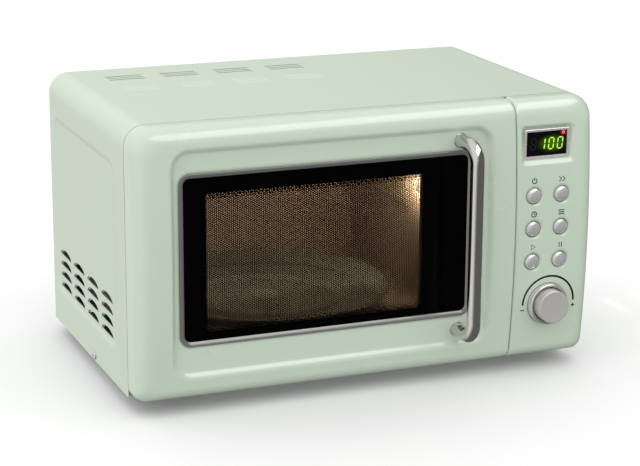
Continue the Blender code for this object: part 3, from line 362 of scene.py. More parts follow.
def circuit_board(name):
    """Brown laminate with a faint grid of copper under its varnish."""
    material, tree, shader = start_material(name, Roughness=0.35, Coat_Weight=0.3)
    grid = add_node(
        tree, "ShaderNodeTexBrick", {"Vector": object_place(tree), "Scale": 130.0, "Mortar Size": 0.06})
    grid.inputs["Color1"].default_value = (0.19, 0.10, 0.035, 1)
    grid.inputs["Color2"].default_value = (0.23, 0.13, 0.05, 1)
    grid.inputs["Mortar"].default_value = (0.35, 0.22, 0.09, 1)
    tree.links.new(grid.outputs["Color"], shader.inputs["Base Color"])
    add_bump(tree, shader, noise(tree, 500.0), 0.1, 0.05 * MM)
    return material


def laminated_steel(name):
    """Edges of a stack of varnished steel plates."""
    material, tree, shader = start_material(name, Metallic=0.6)
    bands = add_node(
        tree, "ShaderNodeTexWave", {"Vector": object_place(tree), "Scale": 300.0, "Distortion": 0.4})
    bands.bands_direction = "Y"
    tint(tree, shader, bands.outputs["Fac"], (0.05, 0.045, 0.04), (0.14, 0.13, 0.12))
    gloss(tree, shader, noise(tree, 90.0), 0.4, 0.6)
    add_bump(tree, shader, bands.outputs["Fac"], 0.3, 0.1 * MM)
    return material


MINT = (0.585, 0.690, 0.560)
INK = (0.002, 0.018, 0.005)
MATERIALS = {
    "mint_steel": gloss_paint("mint_steel", MINT, 0.34, coat=0.15),
    "mint_plastic": gloss_paint("mint_plastic", MINT, 0.26, 0.03, 0.5),
    "galvanised": spangled_steel("galvanised"),
    "zinc_plated": bright_metal("zinc_plated", (0.55, 0.55, 0.53), 0.3, (1, 1, 0.2), 0.08),
    "screw_steel": bright_metal("screw_steel", (0.70, 0.69, 0.66), 0.2),
    "foot_rubber": rubber("foot_rubber"),
    "frame_paint": gloss_paint("frame_paint", (0.62, 0.62, 0.58), 0.35),
    "cavity_paint": speckled_enamel("cavity_paint", (0.36, 0.31, 0.26)),
    "mica": moulded_plastic("mica", (0.42, 0.37, 0.28), 0.4, 0.2, 300.0),
    "chrome": bright_metal("chrome", (0.66, 0.64, 0.63), 0.09, grain=0.01, scale=160.0),
    "brushed_knob": bright_metal("brushed_knob", (0.66, 0.64, 0.62), 0.34, (1, 1, 0.06), 0.06, 900.0, 0.4),
    "button_silver": bright_metal(
        "button_silver", (0.74, 0.74, 0.74), 0.3, grain=0.004, scale=1200.0, metallic=0.55),
    "bezel_silver": bright_metal("bezel_silver", (0.70, 0.67, 0.66), 0.25, grain=0.004, metallic=0.4),
    "window_glass": thin_glass("window_glass", (0.001, 0.001, 0.001), 0.24, specular=0.08),
    "screen_steel": black_gloss("screen_steel", 0.08, 0.4),
    "clear_film": thin_glass("clear_film", (0.5, 0.5, 0.48), 0.08, 0.1),
    "choke_plastic": moulded_plastic("choke_plastic", (0.09, 0.09, 0.09), 0.5),
    "black_plastic": moulded_plastic("black_plastic", (0.018, 0.018, 0.019), 0.45),
    "grey_plastic": moulded_plastic("grey_plastic", (0.16, 0.16, 0.165), 0.5),
    "cream_plastic": moulded_plastic("cream_plastic", (0.66, 0.63, 0.55), 0.4),
    "circuit_board": circuit_board("circuit_board"),
    "laminated_steel": laminated_steel("laminated_steel"),
    "turntable_glass": clear_glass("turntable_glass"),
    "lamp_glass": glowing("lamp_glass", (1.0, 0.86, 0.58), 45.0),
}
TRIM_CHROME = bright_metal("trim_chrome", (0.22, 0.22, 0.21), 0.2, grain=0.01, scale=160.0, metallic=0.3)
RING_CHROME = bright_metal("ring_chrome", (0.78, 0.76, 0.74), 0.14, grain=0.01, scale=160.0, metallic=0.75)
PRINT_BLACK = black_gloss("print_black", 0.06)
PRINT_INK = moulded_plastic("print_ink", INK, 0.4, 0.02)
DIGIT_GREEN = glowing("digit_green", (0.52, 0.92, 0.10), 1.25)
DIGIT_DARK = moulded_plastic("digit_dark", (0.010, 0.010, 0.010), 0.3, 0.0)
LED_RED = glowing("led_red", (1.0, 0.16, 0.22), 1.3)


# ---------------------------------------------------------------- mesh helpers

def piece(name, bm, slot, body, stands_for=(), material=None, smooth=38, outside=None):
    """Turn a bmesh in cabinet coordinates into a piece that rides on a body.

    outside is a direction in which an open surface's outer side faces; a closed body needs none.
    """
    bmesh.ops.recalc_face_normals(bm, faces=bm.faces[:])
    if outside is not None:
        direction = Vector(outside)
        furthest = max(bm.faces, key=lambda face: face.calc_center_median().dot(direction))
        if furthest.normal.dot(direction) < 0:
            bmesh.ops.reverse_faces(bm, faces=bm.faces[:])
    mesh = bpy.data.meshes.new(name)
    bm.to_mesh(mesh)
    bm.free()
    mesh.transform(Matrix.Translation(DATUM))
    mesh.materials.append(material or MATERIALS[slot])
    mesh.shade_smooth()
    mesh.set_sharp_from_angle(angle=math.radians(smooth))
    obj = bpy.data.objects.new(name, mesh)
    bpy.context.scene.collection.objects.link(obj)
    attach(obj, body)
    if stands_for:
        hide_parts(*stands_for)
    return obj


def bake_modifiers(obj, smooth=38):
    """Keep the evaluated mesh and drop the modifiers, then mark the sharp edges afresh."""
    bpy.context.view_layer.update()
    evaluated = obj.evaluated_get(bpy.context.evaluated_depsgraph_get())
    mesh = bpy.data.meshes.new_from_object(evaluated)
    obj.modifiers.clear()
    obj.data = mesh
    mesh.shade_smooth()
    mesh.set_sharp_from_angle(angle=math.radians(smooth))
    return obj


def thicken(obj, thickness):
    modifier = obj.modifiers.new("thickness", "SOLIDIFY")
    modifier.thickness = thickness
    modifier.offset = -1.0
    return obj


def round_edges(obj, width, segments=3, angle=30):
    modifier = obj.modifiers.new("edges", "BEVEL")
    modifier.width = width
    modifier.segments = segments
    modifier.limit_method = "ANGLE"
    modifier.angle_limit = math.radians(angle)
    modifier.harden_normals = False
    return obj


def cut(obj, bm):
    """Cut a bmesh in cabinet coordinates out of a piece, and keep the result."""
    bmesh.ops.recalc_face_normals(bm, faces=bm.faces[:])
    mesh = bpy.data.meshes.new("cutter")
    bm.to_mesh(mesh)
    bm.free()
    mesh.transform(Matrix.Translation(DATUM))
    cutter = bpy.data.objects.new("cutter", mesh)
    bpy.context.scene.collection.objects.link(cutter)
    modifier = obj.modifiers.new("cut", "BOOLEAN")
    modifier.operation = "DIFFERENCE"
    modifier.solver = "EXACT"
    modifier.object = cutter
    bake_modifiers(obj)
    bpy.data.objects.remove(cutter)
    return obj


def add_box(bm, x0, x1, y0, y1, z0, z1):
    size = Matrix.Diagonal((x1 - x0, y1 - y0, z1 - z0, 1.0))
    centre = Matrix.Translation(((x0 + x1) / 2, (y0 + y1) / 2, (z0 + z1) / 2))
    bmesh.ops.create_cube(bm, size=1.0, matrix=centre @ size)


def corner_inset(height, low, high, low_radius, high_radius):
    """How far a rounded rectangle has drawn in at a height between low and high."""
    for away, radius in ((height - low, low_radius), (high - height, high_radius)):
        if away < radius:
            return radius - math.sqrt(max(radius ** 2 - (radius - away) ** 2, 0.0))
    return 0.0


class Outline:
    """A rounded rectangle as a loop of points whose rows are level.

    radii are bottom left, bottom right, top right and top left. The loop goes up the right side,
    back along the top, down the left side and along the bottom.
    """

    def __init__(self, rectangle, radii, arc=9, up=24, across=20):
        x0, x1, z0, z1 = rectangle
        if not isinstance(radii, tuple):
            radii = (radii,) * 4
        low = max(radii[0], radii[1])
        high = max(radii[2], radii[3])
        turns = [math.pi / 2 * step / arc for step in range(arc + 1)]
        bottom = [z0 + low * (1 - math.cos(turn)) for turn in turns]
        top = [z1 - high * (1 - math.sin(turn)) for turn in turns]
        middle = [bottom[-1] + (top[0] - bottom[-1]) * step / up for step in range(1, up)]
        self.levels = bottom + middle + top
        self.across = across
        self.right = [(x1 - corner_inset(z, z0, z1, radii[1], radii[2]), z) for z in self.levels]
        self.left = [(x0 + corner_inset(z, z0, z1, radii[0], radii[3]), z) for z in self.levels]

    def points(self):
        def between(first, last):
            steps = range(1, self.across)
            return [(first[0] + (last[0] - first[0]) * step / self.across, first[1]) for step in steps]

        back = self.left[::-1]
        return self.right + between(self.right[-1], back[0]) + back + between(back[-1], self.right[0])


def level_ring(bm, outline, depth_at):
    """Vertices of an outline, at the depth that depth_at gives for each height."""
    points = outline.points() if isinstance(outline, Outline) else outline
    return [bm.verts.new((x, depth_at(z), z)) for x, z in points]


def blend_points(first, second, share):
    pairs = zip(first, second)
    return [(a[0] + (b[0] - a[0]) * share, a[1] + (b[1] - a[1]) * share) for a, b in pairs]


def bridge(bm, first, second):
    count = len(first)
    for index in range(count):
        after = (index + 1) % count
        corners = [first[index], first[after], second[after], second[index]]
        bm.faces.new(corners)


def skin(bm, rings):
    for first, second in zip(rings, rings[1:]):
        bridge(bm, first, second)


def turned(bm, profile, matrix, steps=64):
    """Turn a profile of (radius, height) round +Z of the matrix. It may start and end on the axis."""
    rings = []
    for radius, height in profile:
        if radius < 1e-7:
            rings.append([bm.verts.new(matrix @ Vector((0, 0, height)))])
            continue
        rings.append([
            bm.verts.new(matrix @ Vector((radius * math.cos(turn), radius * math.sin(turn), height)))
            for turn in (math.tau * step / steps for step in range(steps))
        ])
    if profile[0][0] > 1e-7:
        rings.append(rings[0])
    for first, second in zip(rings, rings[1:]):
        for step in range(steps):
            after = (step + 1) % steps
            corners = [first[step % len(first)], first[after % len(first)],
                       second[after % len(second)], second[step % len(second)]]
            bm.faces.new(list(dict.fromkeys(corners)))
    return bm


def facing_front(x, y, z):
    """A frame at a place in the front, whose +Z points out of it, towards -Y."""
    return Matrix.Translation((x, y, z)) @ Matrix.Rotation(math.pi / 2, 4, "X")


def rounded_profile(points, radius, steps=4):
    """Round the inner corners of a profile of (radius, height) points."""
    result = [points[0]]
    for before, corner, after in zip(points, points[1:], points[2:]):
        corner = Vector(corner)
        arms = [Vector(before) - corner, Vector(after) - corner]
        reach = min(radius, arms[0].length / 2, arms[1].length / 2)
        start = corner + arms[0].normalized() * reach
        end = corner + arms[1].normalized() * reach
        for step in range(steps + 1):
            share = step / steps
            first = start.lerp(corner, share)
            second = corner.lerp(end, share)
            result.append(tuple(first.lerp(second, share)))
    return result + [points[-1]]


def sweep(bm, points, radius, steps=32):
    """A round tube along points, with flat ends."""
    rings = []
    side = Vector((1, 0, 0))
    last = len(points) - 1
    for index, place in enumerate(points):
        along = (points[min(index + 1, last)] - points[max(index - 1, 0)]).normalized()
        up = along.cross(side).normalized()
        across = up.cross(along).normalized()
        rings.append([
            bm.verts.new(place + radius * (
                across * math.cos(math.tau * step / steps) + up * math.sin(math.tau * step / steps)))
            for step in range(steps)
        ])
    skin(bm, rings)
    bm.faces.new(rings[0])
    bm.faces.new(rings[-1][::-1])
    return bm


# ---------------------------------------------------------------- painted shell

def front_face(z):
    """Depth of the bowed front at a height."""
    return -FRONT_DEPTH + FRONT_BOW * ((z - MID_Z) / MID_Z) ** 2


def fillet_inset(radius, depth):
    if depth >= radius:
        return 0.0
    return radius - math.sqrt(radius ** 2 - (radius - depth) ** 2)


def fillet_depths(steps=14):
    """Depths behind the front at which a shell's rings lie, closest together near the front."""
    return [FILLET_TOP * (1 - math.sin(math.pi / 2 * step / steps)) for step in range(steps + 1)]


def shell_rings(bm, x0, x1, left_fillet, right_fillet, radii, **steps):
    """Rings of a bowed front shell, from its rear edge forward over the fillets."""
    outline = Outline((x0, x1, 0, HEIGHT), radii, **steps)
    rings = [level_ring(bm, outline, lambda z: -SEAM)]
    for depth in fillet_depths():
        rectangle = (
            x0 + fillet_inset(left_fillet, depth), x1 - fillet_inset(right_fillet, depth),
            fillet_inset(FILLET_BOTTOM, depth), HEIGHT - fillet_inset(FILLET_TOP, depth),
        )
        outline = Outline(rectangle, radii, **steps)
        rings.append(level_ring(bm, outline, lambda z, depth=depth: front_face(z) + depth))
    return rings, outline


def grown(rectangle, amount):
    x0, x1, z0, z1 = rectangle
    return x0 - amount, x1 + amount, z0 - amount, z1 + amount


def build_door_front():
    """The painted door front with its bowed face, soft fillets and stepped-in recess."""
    steps = {"arc": 10, "up": 30, "across": 40}
    bm = bmesh.new()
    radii = (LOWER_CORNER, 3 * MM, 3 * MM, COVER_RADIUS)
    rings, outline = shell_rings(bm, -HALF_WIDTH, DOOR_RIGHT, FILLET_SIDE, FILLET_SEAM, radii, **steps)
    flat = outline.points()
    brim = Outline(grown(RECESS, RECESS_STEP), RECESS_RADIUS + RECESS_STEP, **steps).points()
    for share in (0.15, 0.5, 0.85):
        rings.append(level_ring(bm, blend_points(flat, brim, share), front_face))
    step_count = 16
    for step in range(step_count + 1):
        share = step / step_count
        steep = share ** 1.5
        ease = steep * steep * (3 - 2 * steep)
        inset = RECESS_STEP * (1 - share)
        loop = Outline(grown(RECESS, inset), RECESS_RADIUS + inset, **steps)
        rings.append(level_ring(bm, loop, lambda z, ease=ease: front_face(z) * (1 - ease) + RECESS_Y * ease))
    lip = Outline(grown(WINDOW, LIP_GROWTH), WINDOW_RADIUS + LIP_GROWTH, **steps).points()
    floor = Outline(RECESS, RECESS_RADIUS, **steps).points()
    for share in (0.1, 0.92):
        rings.append(level_ring(bm, blend_points(floor, lip, share), lambda z: RECESS_Y))
    lip_count = 5
    for step in range(lip_count + 1):
        share = step / lip_count
        growth = LIP_GROWTH + (TRIM_GROWTH - LIP_GROWTH) * share
        depth = RECESS_Y + LIP_DEPTH * share ** 1.7
        loop = Outline(grown(WINDOW, growth), WINDOW_RADIUS + growth, **steps)
        rings.append(level_ring(bm, loop, lambda z, depth=depth: depth))
    opening = Outline(grown(WINDOW, GAP), WINDOW_RADIUS, **steps)
    rings.append(level_ring(bm, opening, lambda z: RECESS_Y + LIP_DEPTH))
    skin(bm, rings)
    door = piece("door_front", bm, "mint_plastic", "door", ["door_shell"], outside=(0, -1, 0))
    bake_modifiers(thicken(door, SHELL))


def close_in(bm, border, centre, rings):
    """Rings of vertices inside a border of a level grid, each a rounded rectangle about a centre.

    A ring is (half width, half height, corner radius, depth behind the front, shift of its middle).
    """
    half_x = max(abs(vert.co.x - centre[0]) for vert in border)
    half_z = max(abs(vert.co.z - centre[1]) for vert in border)
    last = border
    for width, height, radius, depth, shift in rings:
        ring = []
        for vert in border:
            x = (vert.co.x - centre[0]) / half_x
            z = (vert.co.z - centre[1]) / half_z
            reach = max(abs(x), abs(z))
            x, z = abs(x) / reach * width, abs(z) / reach * height
            over_x, over_z = x - (width - radius), z - (height - radius)
            if over_x > 0 and over_z > 0:
                length = math.hypot(over_x, over_z)
                x = width - radius + over_x * radius / length
                z = height - radius + over_z * radius / length
            x = centre[0] + math.copysign(x, vert.co.x - centre[0])
            z = centre[1] + shift + math.copysign(z, vert.co.z - centre[1])
            ring.append(bm.verts.new((x, front_face(z) + depth, z)))
        bridge(bm, last, ring)
        last = ring


def wall_share(share):
    """Depth of a sloping wall, from 0 to 1: straight, with short roundings at both ends."""
    soft = 0.22
    if share < soft:
        rise = share * share / (2 * soft)
    elif share > 1 - soft:
        rise = 1 - soft - (1 - share) ** 2 / (2 * soft)
    else:
        rise = share - soft / 2
    return rise / (1 - soft)


def dish_rings(hole_radius, dish_radius, depth, wall):
    """Rings of a shallow dish round a hole, from its rim to the foot of the hole's wall."""
    steps = 8
    rings = []
    for step in range(steps + 1):
        share = step / steps
        radius = dish_radius + (hole_radius - dish_radius) * share
        rings.append((radius, radius, radius, depth * wall_share(share), 0.0))
    rings.append((hole_radius - 0.05 * MM, hole_radius - 0.05 * MM, hole_radius - 0.05 * MM, wall, 0.0))
    return rings


def pocket_rings():
    """Rings of the display's pocket, whose lower wall slopes further than its upper one."""
    low, high = node_box("display_bezel")
    half_width = (high.x - low.x) / 2
    half_height = (high.z - low.z) / 2
    floor_depth = POCKET_DEPTH
    steps = 10
    rings = []
    for step in range(steps + 1):
        share = step / steps
        ease = wall_share(share)
        side = 0.5 * MM + 4.0 * MM * (1 - share)
        top = 0.5 * MM + 4.0 * MM * (1 - share)
        bottom = 0.5 * MM + 5.0 * MM * (1 - share)
        rings.append((
            half_width + side, half_height + (top + bottom) / 2, 2.0 * MM + 3.5 * MM * (1 - share),
            floor_depth * ease, (top - bottom) / 2,
        ))
    rings.append((half_width - 1.8 * MM, half_height - 1.8 * MM, 1.0 * MM, floor_depth, 0.0))
    return rings


def build_panel_front():
    """The painted control panel with its display pocket, button dishes and knob hole."""
    columns = 70
    bm = bmesh.new()
    radii = (3 * MM, LOWER_CORNER, COVER_RADIUS, 3 * MM)
    rings, outline = shell_rings(
        bm, PANEL_LEFT, HALF_WIDTH, FILLET_SEAM, FILLET_SIDE, radii, arc=10, up=170, across=columns)
    skin(bm, rings)
    side = len(outline.levels)
    edge = rings[-1]
    right = edge[:side]
    top = edge[side:side + columns - 1]
    left = edge[side + columns - 1:2 * side + columns - 1]
    bottom = edge[2 * side + columns - 1:]
    rows = [[left[-1], *bottom, right[0]]]
    for index in range(1, side - 1):
        start, end = left[side - 1 - index], right[index]
        inner = [bm.verts.new(start.co.lerp(end.co, step / columns)) for step in range(1, columns)]
        rows.append([start, *inner, end])
    rows.append([left[0], *top[::-1], right[-1]])

    features = [(centre_of(name), 10.6 * MM, 10.6 * MM, dish_rings(7.9 * MM, 10.0 * MM, 1.3 * MM, 3 * MM))
                for name in BUTTONS]
    features.append((KNOB, 21 * MM, 21 * MM, dish_rings(19.8 * MM, 20.6 * MM, 0.4 * MM, 3 * MM)))
    features.append((centre_of("display_bezel"), 28.2 * MM, 19.8 * MM, pocket_rings()))
    filled = set()
    for centre, half_x, half_z, inner_rings in features:
        below = max(i for i, z in enumerate(outline.levels) if z <= centre.z - half_z)
        above = min(i for i, z in enumerate(outline.levels) if z >= centre.z + half_z)
        middle = rows[(below + above) // 2]
        first = max([j for j, vert in enumerate(middle) if vert.co.x <= centre.x - half_x] or [0])
        last = min(j for j, vert in enumerate(middle) if vert.co.x >= centre.x + half_x)
        border = rows[below][first:last + 1]
        border += [rows[i][last] for i in range(below + 1, above)]
        border += rows[above][first:last + 1][::-1]
        border += [rows[i][first] for i in range(above - 1, below, -1)]
        close_in(bm, border, (centre.x, centre.z), inner_rings)
        filled.update((i, j) for i in range(below, above) for j in range(first, last))
    for i in range(side - 1):
        for j in range(columns):
            if (i, j) not in filled:
                bm.faces.new((rows[i][j], rows[i][j + 1], rows[i + 1][j + 1], rows[i + 1][j]))
    panel = piece("panel_front", bm, "mint_plastic", "cabinet", ["control_panel"], outside=(0, -1, 0))
    bake_modifiers(thicken(panel, SHELL))


def side_ring(bm, side, outline, depth):
    """Vertices of an outline laid out on a side wall, sunk to a depth."""
    return [bm.verts.new((side * (HALF_WIDTH - depth), y, z)) for y, z in outline.points()]


def build_cover_skin():
    """The wrap: rounded top edges, a shallow panel pressed into each side, louvres and slits."""
    steps = {"arc": 8, "up": 8, "across": 8}
    bm = bmesh.new()
    near, far = GAP, COVER_DEPTH - GAP
    shoulder = HEIGHT - COVER_RADIUS
    tight = 0.01 * MM
    support = 1.2 * MM
    for side in (-1, 1):
        rings = [side_ring(bm, side, Outline((near, far, 0, shoulder), tight, **steps), 0.0)]
        inner = (near + support, far - support, support, shoulder - support)
        rings.append(side_ring(bm, side, Outline(inner, tight, **steps), 0.0))
        step_count = 10
        for step in range(step_count + 1):
            share = step / step_count
            ease = wall_share(share)
            inset = EMBOSS_STEP * share
            outline = Outline(grown(EMBOSS, -inset), EMBOSS_RADIUS - inset * 0.6, **steps)
            rings.append(side_ring(bm, side, outline, EMBOSS_DEPTH * ease))
        outline = Outline(grown(EMBOSS, -EMBOSS_STEP - support), EMBOSS_RADIUS - 4 * MM, **steps)
        rings.append(side_ring(bm, side, outline, EMBOSS_DEPTH))
        skin(bm, rings)
        bm.faces.new(rings[-1])
    arc_steps = 14
    line = [(-HALF_WIDTH, shoulder)]
    for step in range(1, arc_steps + 1):
        turn = math.pi / 2 * step / arc_steps
        x = -HALF_WIDTH + COVER_RADIUS * (1 - math.cos(turn))
        line.append((x, shoulder + COVER_RADIUS * math.sin(turn)))
    line.append((-HALF_WIDTH + COVER_RADIUS + support, HEIGHT))
    line += [(-x, z) for x, z in line[::-1]]
    across = steps["across"]
    rows = [[bm.verts.new((x, near + (far - near) * step / across, z)) for step in range(across + 1)]
            for x, z in line]
    for first, second in zip(rows, rows[1:]):
        for step in range(across):
            bm.faces.new((first[step], first[step + 1], second[step + 1], second[step]))
    bmesh.ops.remove_doubles(bm, verts=bm.verts[:], dist=0.05 * MM)
    cover = piece("cover_skin", bm, "mint_steel", "cabinet", ["outer_cover"], outside=(0, 0, 1))
    bake_modifiers(thicken(cover, SHEET))

    openings = bmesh.new()
    moon_steps = 16
    for y in LOUVRE_Y:
        for z in LOUVRE_Z:
            line = []
            for step in range(moon_steps + 1):
                turn = math.pi * step / moon_steps
                line.append((y + LOUVRE_WIDTH / 2 * math.cos(turn), z + LOUVRE_HEIGHT * math.sin(turn)))
            ends = [[openings.verts.new((side * SIDE_REACH, py, pz)) for py, pz in line] for side in (-1, 1)]
            bridge(openings, *ends)
            openings.faces.new(ends[0])
            openings.faces.new(ends[1][::-1])
    for x in SLIT_X:
        for y in SLIT_Y:
            end, half = SLIT_LENGTH / 2, SLIT_WIDTH / 2
            add_box(openings, x - end, x + end, y - half, y + half, HEIGHT - CUT_REACH, HEIGHT + CUT_REACH)
    cut(cover, openings)


def build_louvre_hoods():
    """Pressed lips behind the side louvres, bent in from the arc of each opening."""
    bm = bmesh.new()
    arc_steps = 16
    lip = 1.5 * MM
    thick = 0.7 * MM
    root, drop = 0.1 * MM, -1.8 * MM
    wall = HALF_WIDTH - EMBOSS_DEPTH
    for side in (-1, 1):
        for y in LOUVRE_Y:
            for z in LOUVRE_Z:
                rings = []
                for reach, rise in ((SHEET, root), (SHEET + lip, drop), (SHEET + lip, drop + thick),
                                    (SHEET, root + thick)):
                    rings.append([
                        bm.verts.new((
                            side * (wall - reach),
                            y + (LOUVRE_WIDTH / 2 + 0.6 * MM) * math.cos(math.pi * step / arc_steps),
                            z + rise + (LOUVRE_HEIGHT + 0.4 * MM) * math.sin(math.pi * step / arc_steps)))
                        for step in range(arc_steps + 1)
                    ])
                for first, second in zip(rings, rings[1:] + rings[:1]):
                    for step in range(arc_steps):
                        bm.faces.new((first[step], first[step + 1], second[step + 1], second[step]))
                for end in (0, -1):
                    bm.faces.new([ring[end] for ring in rings])
    piece("louvre_hoods", bm, "mint_steel", "cabinet")


def build_seam_shade_strips():
    """Dark strips in the seam between the wrap and the front, down both sides: painted shade that keeps the
    gap dark from every side.
    """
    bm = bmesh.new()
    inner, outer = HALF_WIDTH - 4.5 * MM, HALF_WIDTH - 1.0 * MM
    front = -0.25 * MM
    for side in (-1, 1):
        x0, x1 = sorted((side * inner, side * outer))
        add_box(bm, x0, x1, front, 2.4 * MM, 4 * MM, HEIGHT - COVER_RADIUS)
    # painted shade: black strips that darken the seam gap between wrap and front
    piece("seam_shade_strips", bm, "black_plastic", "cabinet")


def build_slit_shade_plate():
    """Dark plate close under the slits in the top: painted shade that keeps the slits dark."""
    bm = bmesh.new()
    end = SLIT_LENGTH / 2 + 4 * MM
    top = HEIGHT - SHEET - 2.2 * MM
    margin = 6 * MM
    add_box(
        bm, SLIT_X[0] - end, SLIT_X[-1] + end, SLIT_Y[0] - margin, SLIT_Y[-1] + margin, top - SHEET, top)
    # painted shade: a black sheet placed where the slits would only be in shade
    piece("slit_shade_plate", bm, "black_plastic", "cabinet")


def build_top_ribs():
    """Blind ribs pressed up in the top, one group in front of each group of slits."""
    bm = bmesh.new()
    arc_steps = 6
    height = 0.45 * MM
    half_width = 2.6 * MM
    for x in SLIT_X:
        for y in SLIT_Y:
            middle = Vector((x + RIB_SHIFT[0], y + RIB_SHIFT[1], HEIGHT))
            rings = []
            for step in range(arc_steps + 1):
                turn = math.pi / 2 * step / arc_steps
                shrink = half_width * (1 - math.cos(turn))
                rise = height * math.sin(turn)
                rectangle = (
                    middle.x - SLIT_LENGTH / 2 + shrink, middle.x + SLIT_LENGTH / 2 - shrink,
                    middle.y - half_width + shrink, middle.y + half_width - shrink * 0.98,
                )
                radius = max(half_width - shrink, 0.04 * MM)
                outline = Outline(rectangle, radius * 0.98, arc=4, up=1, across=4)
                level = HEIGHT + rise - 0.02 * MM
                rings.append([bm.verts.new((px, py, level)) for px, py in outline.points()])
            skin(bm, rings)
            bm.faces.new(rings[0])
            bm.faces.new(rings[-1])
    piece("top_ribs", bm, "mint_steel", "cabinet", smooth=60)


# ---------------------------------------------------------------- door

def bead(bm, outline_at, section):
    """A closed ring whose section is a list of (growth of the outline, depth)."""
    rings = [level_ring(bm, outline_at(growth), lambda z, depth=depth: depth) for growth, depth in section]
    skin(bm, rings + [rings[0]])


def build_window():
    """Bright trim bead, glass pane and the black print behind it."""
    steps = {"arc": 10, "up": 6, "across": 6}
    inner = -0.9 * MM
    back = GLASS_FRONT + 0.2 * MM
    front = RECESS_Y - 1.1 * MM
    section = [(TRIM_GROWTH, back), (TRIM_GROWTH, front + 0.7 * MM)]
    arc_steps = 6
    edge = 0.8 * MM
    for step in range(arc_steps + 1):
        turn = math.pi / 2 * step / arc_steps
        section.append((TRIM_GROWTH - edge * (1 - math.cos(turn)), front + edge * (1 - math.sin(turn))))
    slope_steps = 6
    for step in range(1, slope_steps + 1):
        share = step / slope_steps
        growth = TRIM_GROWTH - edge + (inner - TRIM_GROWTH + edge) * share
        section.append((growth, front + (GLASS_FRONT - 0.2 * MM - front) * share ** 1.4))
    section.append((inner, back))
    bm = bmesh.new()
    bead(bm, lambda growth: Outline(grown(WINDOW, growth), WINDOW_RADIUS + growth, **steps), section)
    piece("trim_bead", bm, "chrome", "door", ["window_trim"], material=TRIM_CHROME)

    high = node_box("door_glass")[1]
    print_y = high.y - 0.2 * MM
    edge = 0.4 * MM
    bm = bmesh.new()
    rings = []
    for growth, y in ((edge, GLASS_FRONT), (0, GLASS_FRONT + edge), (0, print_y - 0.1 * MM)):
        loop = Outline(grown(WINDOW, -growth), WINDOW_RADIUS - growth, **steps)
        rings.append(level_ring(bm, loop, lambda z, y=y: y))
    skin(bm, rings)
    bm.faces.new(rings[0])
    bm.faces.new(rings[-1])
    piece("glass_pane", bm, "window_glass", "door", ["door_glass"])

    outer_loop = Outline(WINDOW, WINDOW_RADIUS, **steps)
    inner_loop = Outline(CLEAR_ZONE, 3 * MM, **steps)
    bm = bmesh.new()
    sides = ((outer_loop, print_y), (outer_loop, high.y), (inner_loop, high.y), (inner_loop, print_y))
    rings = [level_ring(bm, loop, lambda z, y=y: y) for loop, y in sides]
    skin(bm, rings + [rings[0]])
    piece("glass_print", bm, "window_glass", "door", material=PRINT_BLACK)


def build_print_fringe():
    """Rows of dots, smaller towards the middle, that soften the upper and lower edge of the print."""
    back = node_box("door_glass")[1].y
    x0, x1, z0, z1 = CLEAR_ZONE
    bm = bmesh.new()
    for edge, inward in ((z0, 1), (z1, -1)):
        for row, radius in enumerate(FRINGE_RADII):
            z = edge + inward * row * FRINGE_PITCH * math.sqrt(3) / 2
            x = x0 + (0.5 + 0.5 * (row % 2)) * FRINGE_PITCH
            while x < x1 - 0.4 * FRINGE_PITCH:
                ring = arc_line(x, z, radius, 0, 315, 7)
                ends = [[bm.verts.new((px, y, pz)) for px, pz in ring] for y in (back - 0.2 * MM, back)]
                bridge(bm, *ends)
                bm.faces.new(ends[0])
                bm.faces.new(ends[1][::-1])
                x += FRINGE_PITCH
    piece("print_fringe", bm, "window_glass", "door", material=PRINT_BLACK)


def build_lattice(name, first, last, rows, stands_for=()):
    """Columns of the screen's hexagonal lattice of holes, from first to last.

    The first column's holes and their left side belong to the part before, unless it is column 0.
    """
    low, high = node_box("door_screen")
    bm = bmesh.new()
    corners = {}
    for column in range(first, last + 1):
        for row in range(rows + 1):
            x = SCREEN_OPENING[0] + column * HOLE_PITCH * math.sqrt(3) / 2
            z = SCREEN_OPENING[2] + (row + 0.5 * (column % 2)) * HOLE_PITCH
            ring = arc_line(x, z, HOLE_RADIUS, 0, 300, 5)
            near = [bm.verts.new((px, low.y, pz)) for px, pz in ring]
            far = [bm.verts.new((px, high.y, pz)) for px, pz in ring]
            corners[column, row] = near, far
            if column > first or first == 0:
                bridge(bm, near, far)

    def web(*keys):
        for layer, flip in ((0, False), (1, True)):
            verts = [corners[column, row][layer][k] for column, row, k in keys]
            bm.faces.new(verts[::-1] if flip else verts)

    for column in range(first, last + 1):
        for row in range(rows + 1):
            above = (column, row + 1)
            upper = (column + 1, row + column % 2)
            lower = (column + 1, row + column % 2 - 1)
            if above in corners and (column > first or first == 0):
                web((*above, 5), (*above, 4), (column, row, 2), (column, row, 1))
            if upper in corners:
                web((*upper, 4), (*upper, 3), (column, row, 1), (column, row, 0))
            if lower in corners:
                web((*lower, 3), (*lower, 2), (column, row, 0), (column, row, 5))
            if above in corners and upper in corners:
                web((column, row, 1), (*upper, 3), (*above, 5))
            if upper in corners and lower in corners:
                web((column, row, 0), (*lower, 2), (*upper, 4))
    piece(name, bm, "screen_steel", "door", stands_for, smooth=20)


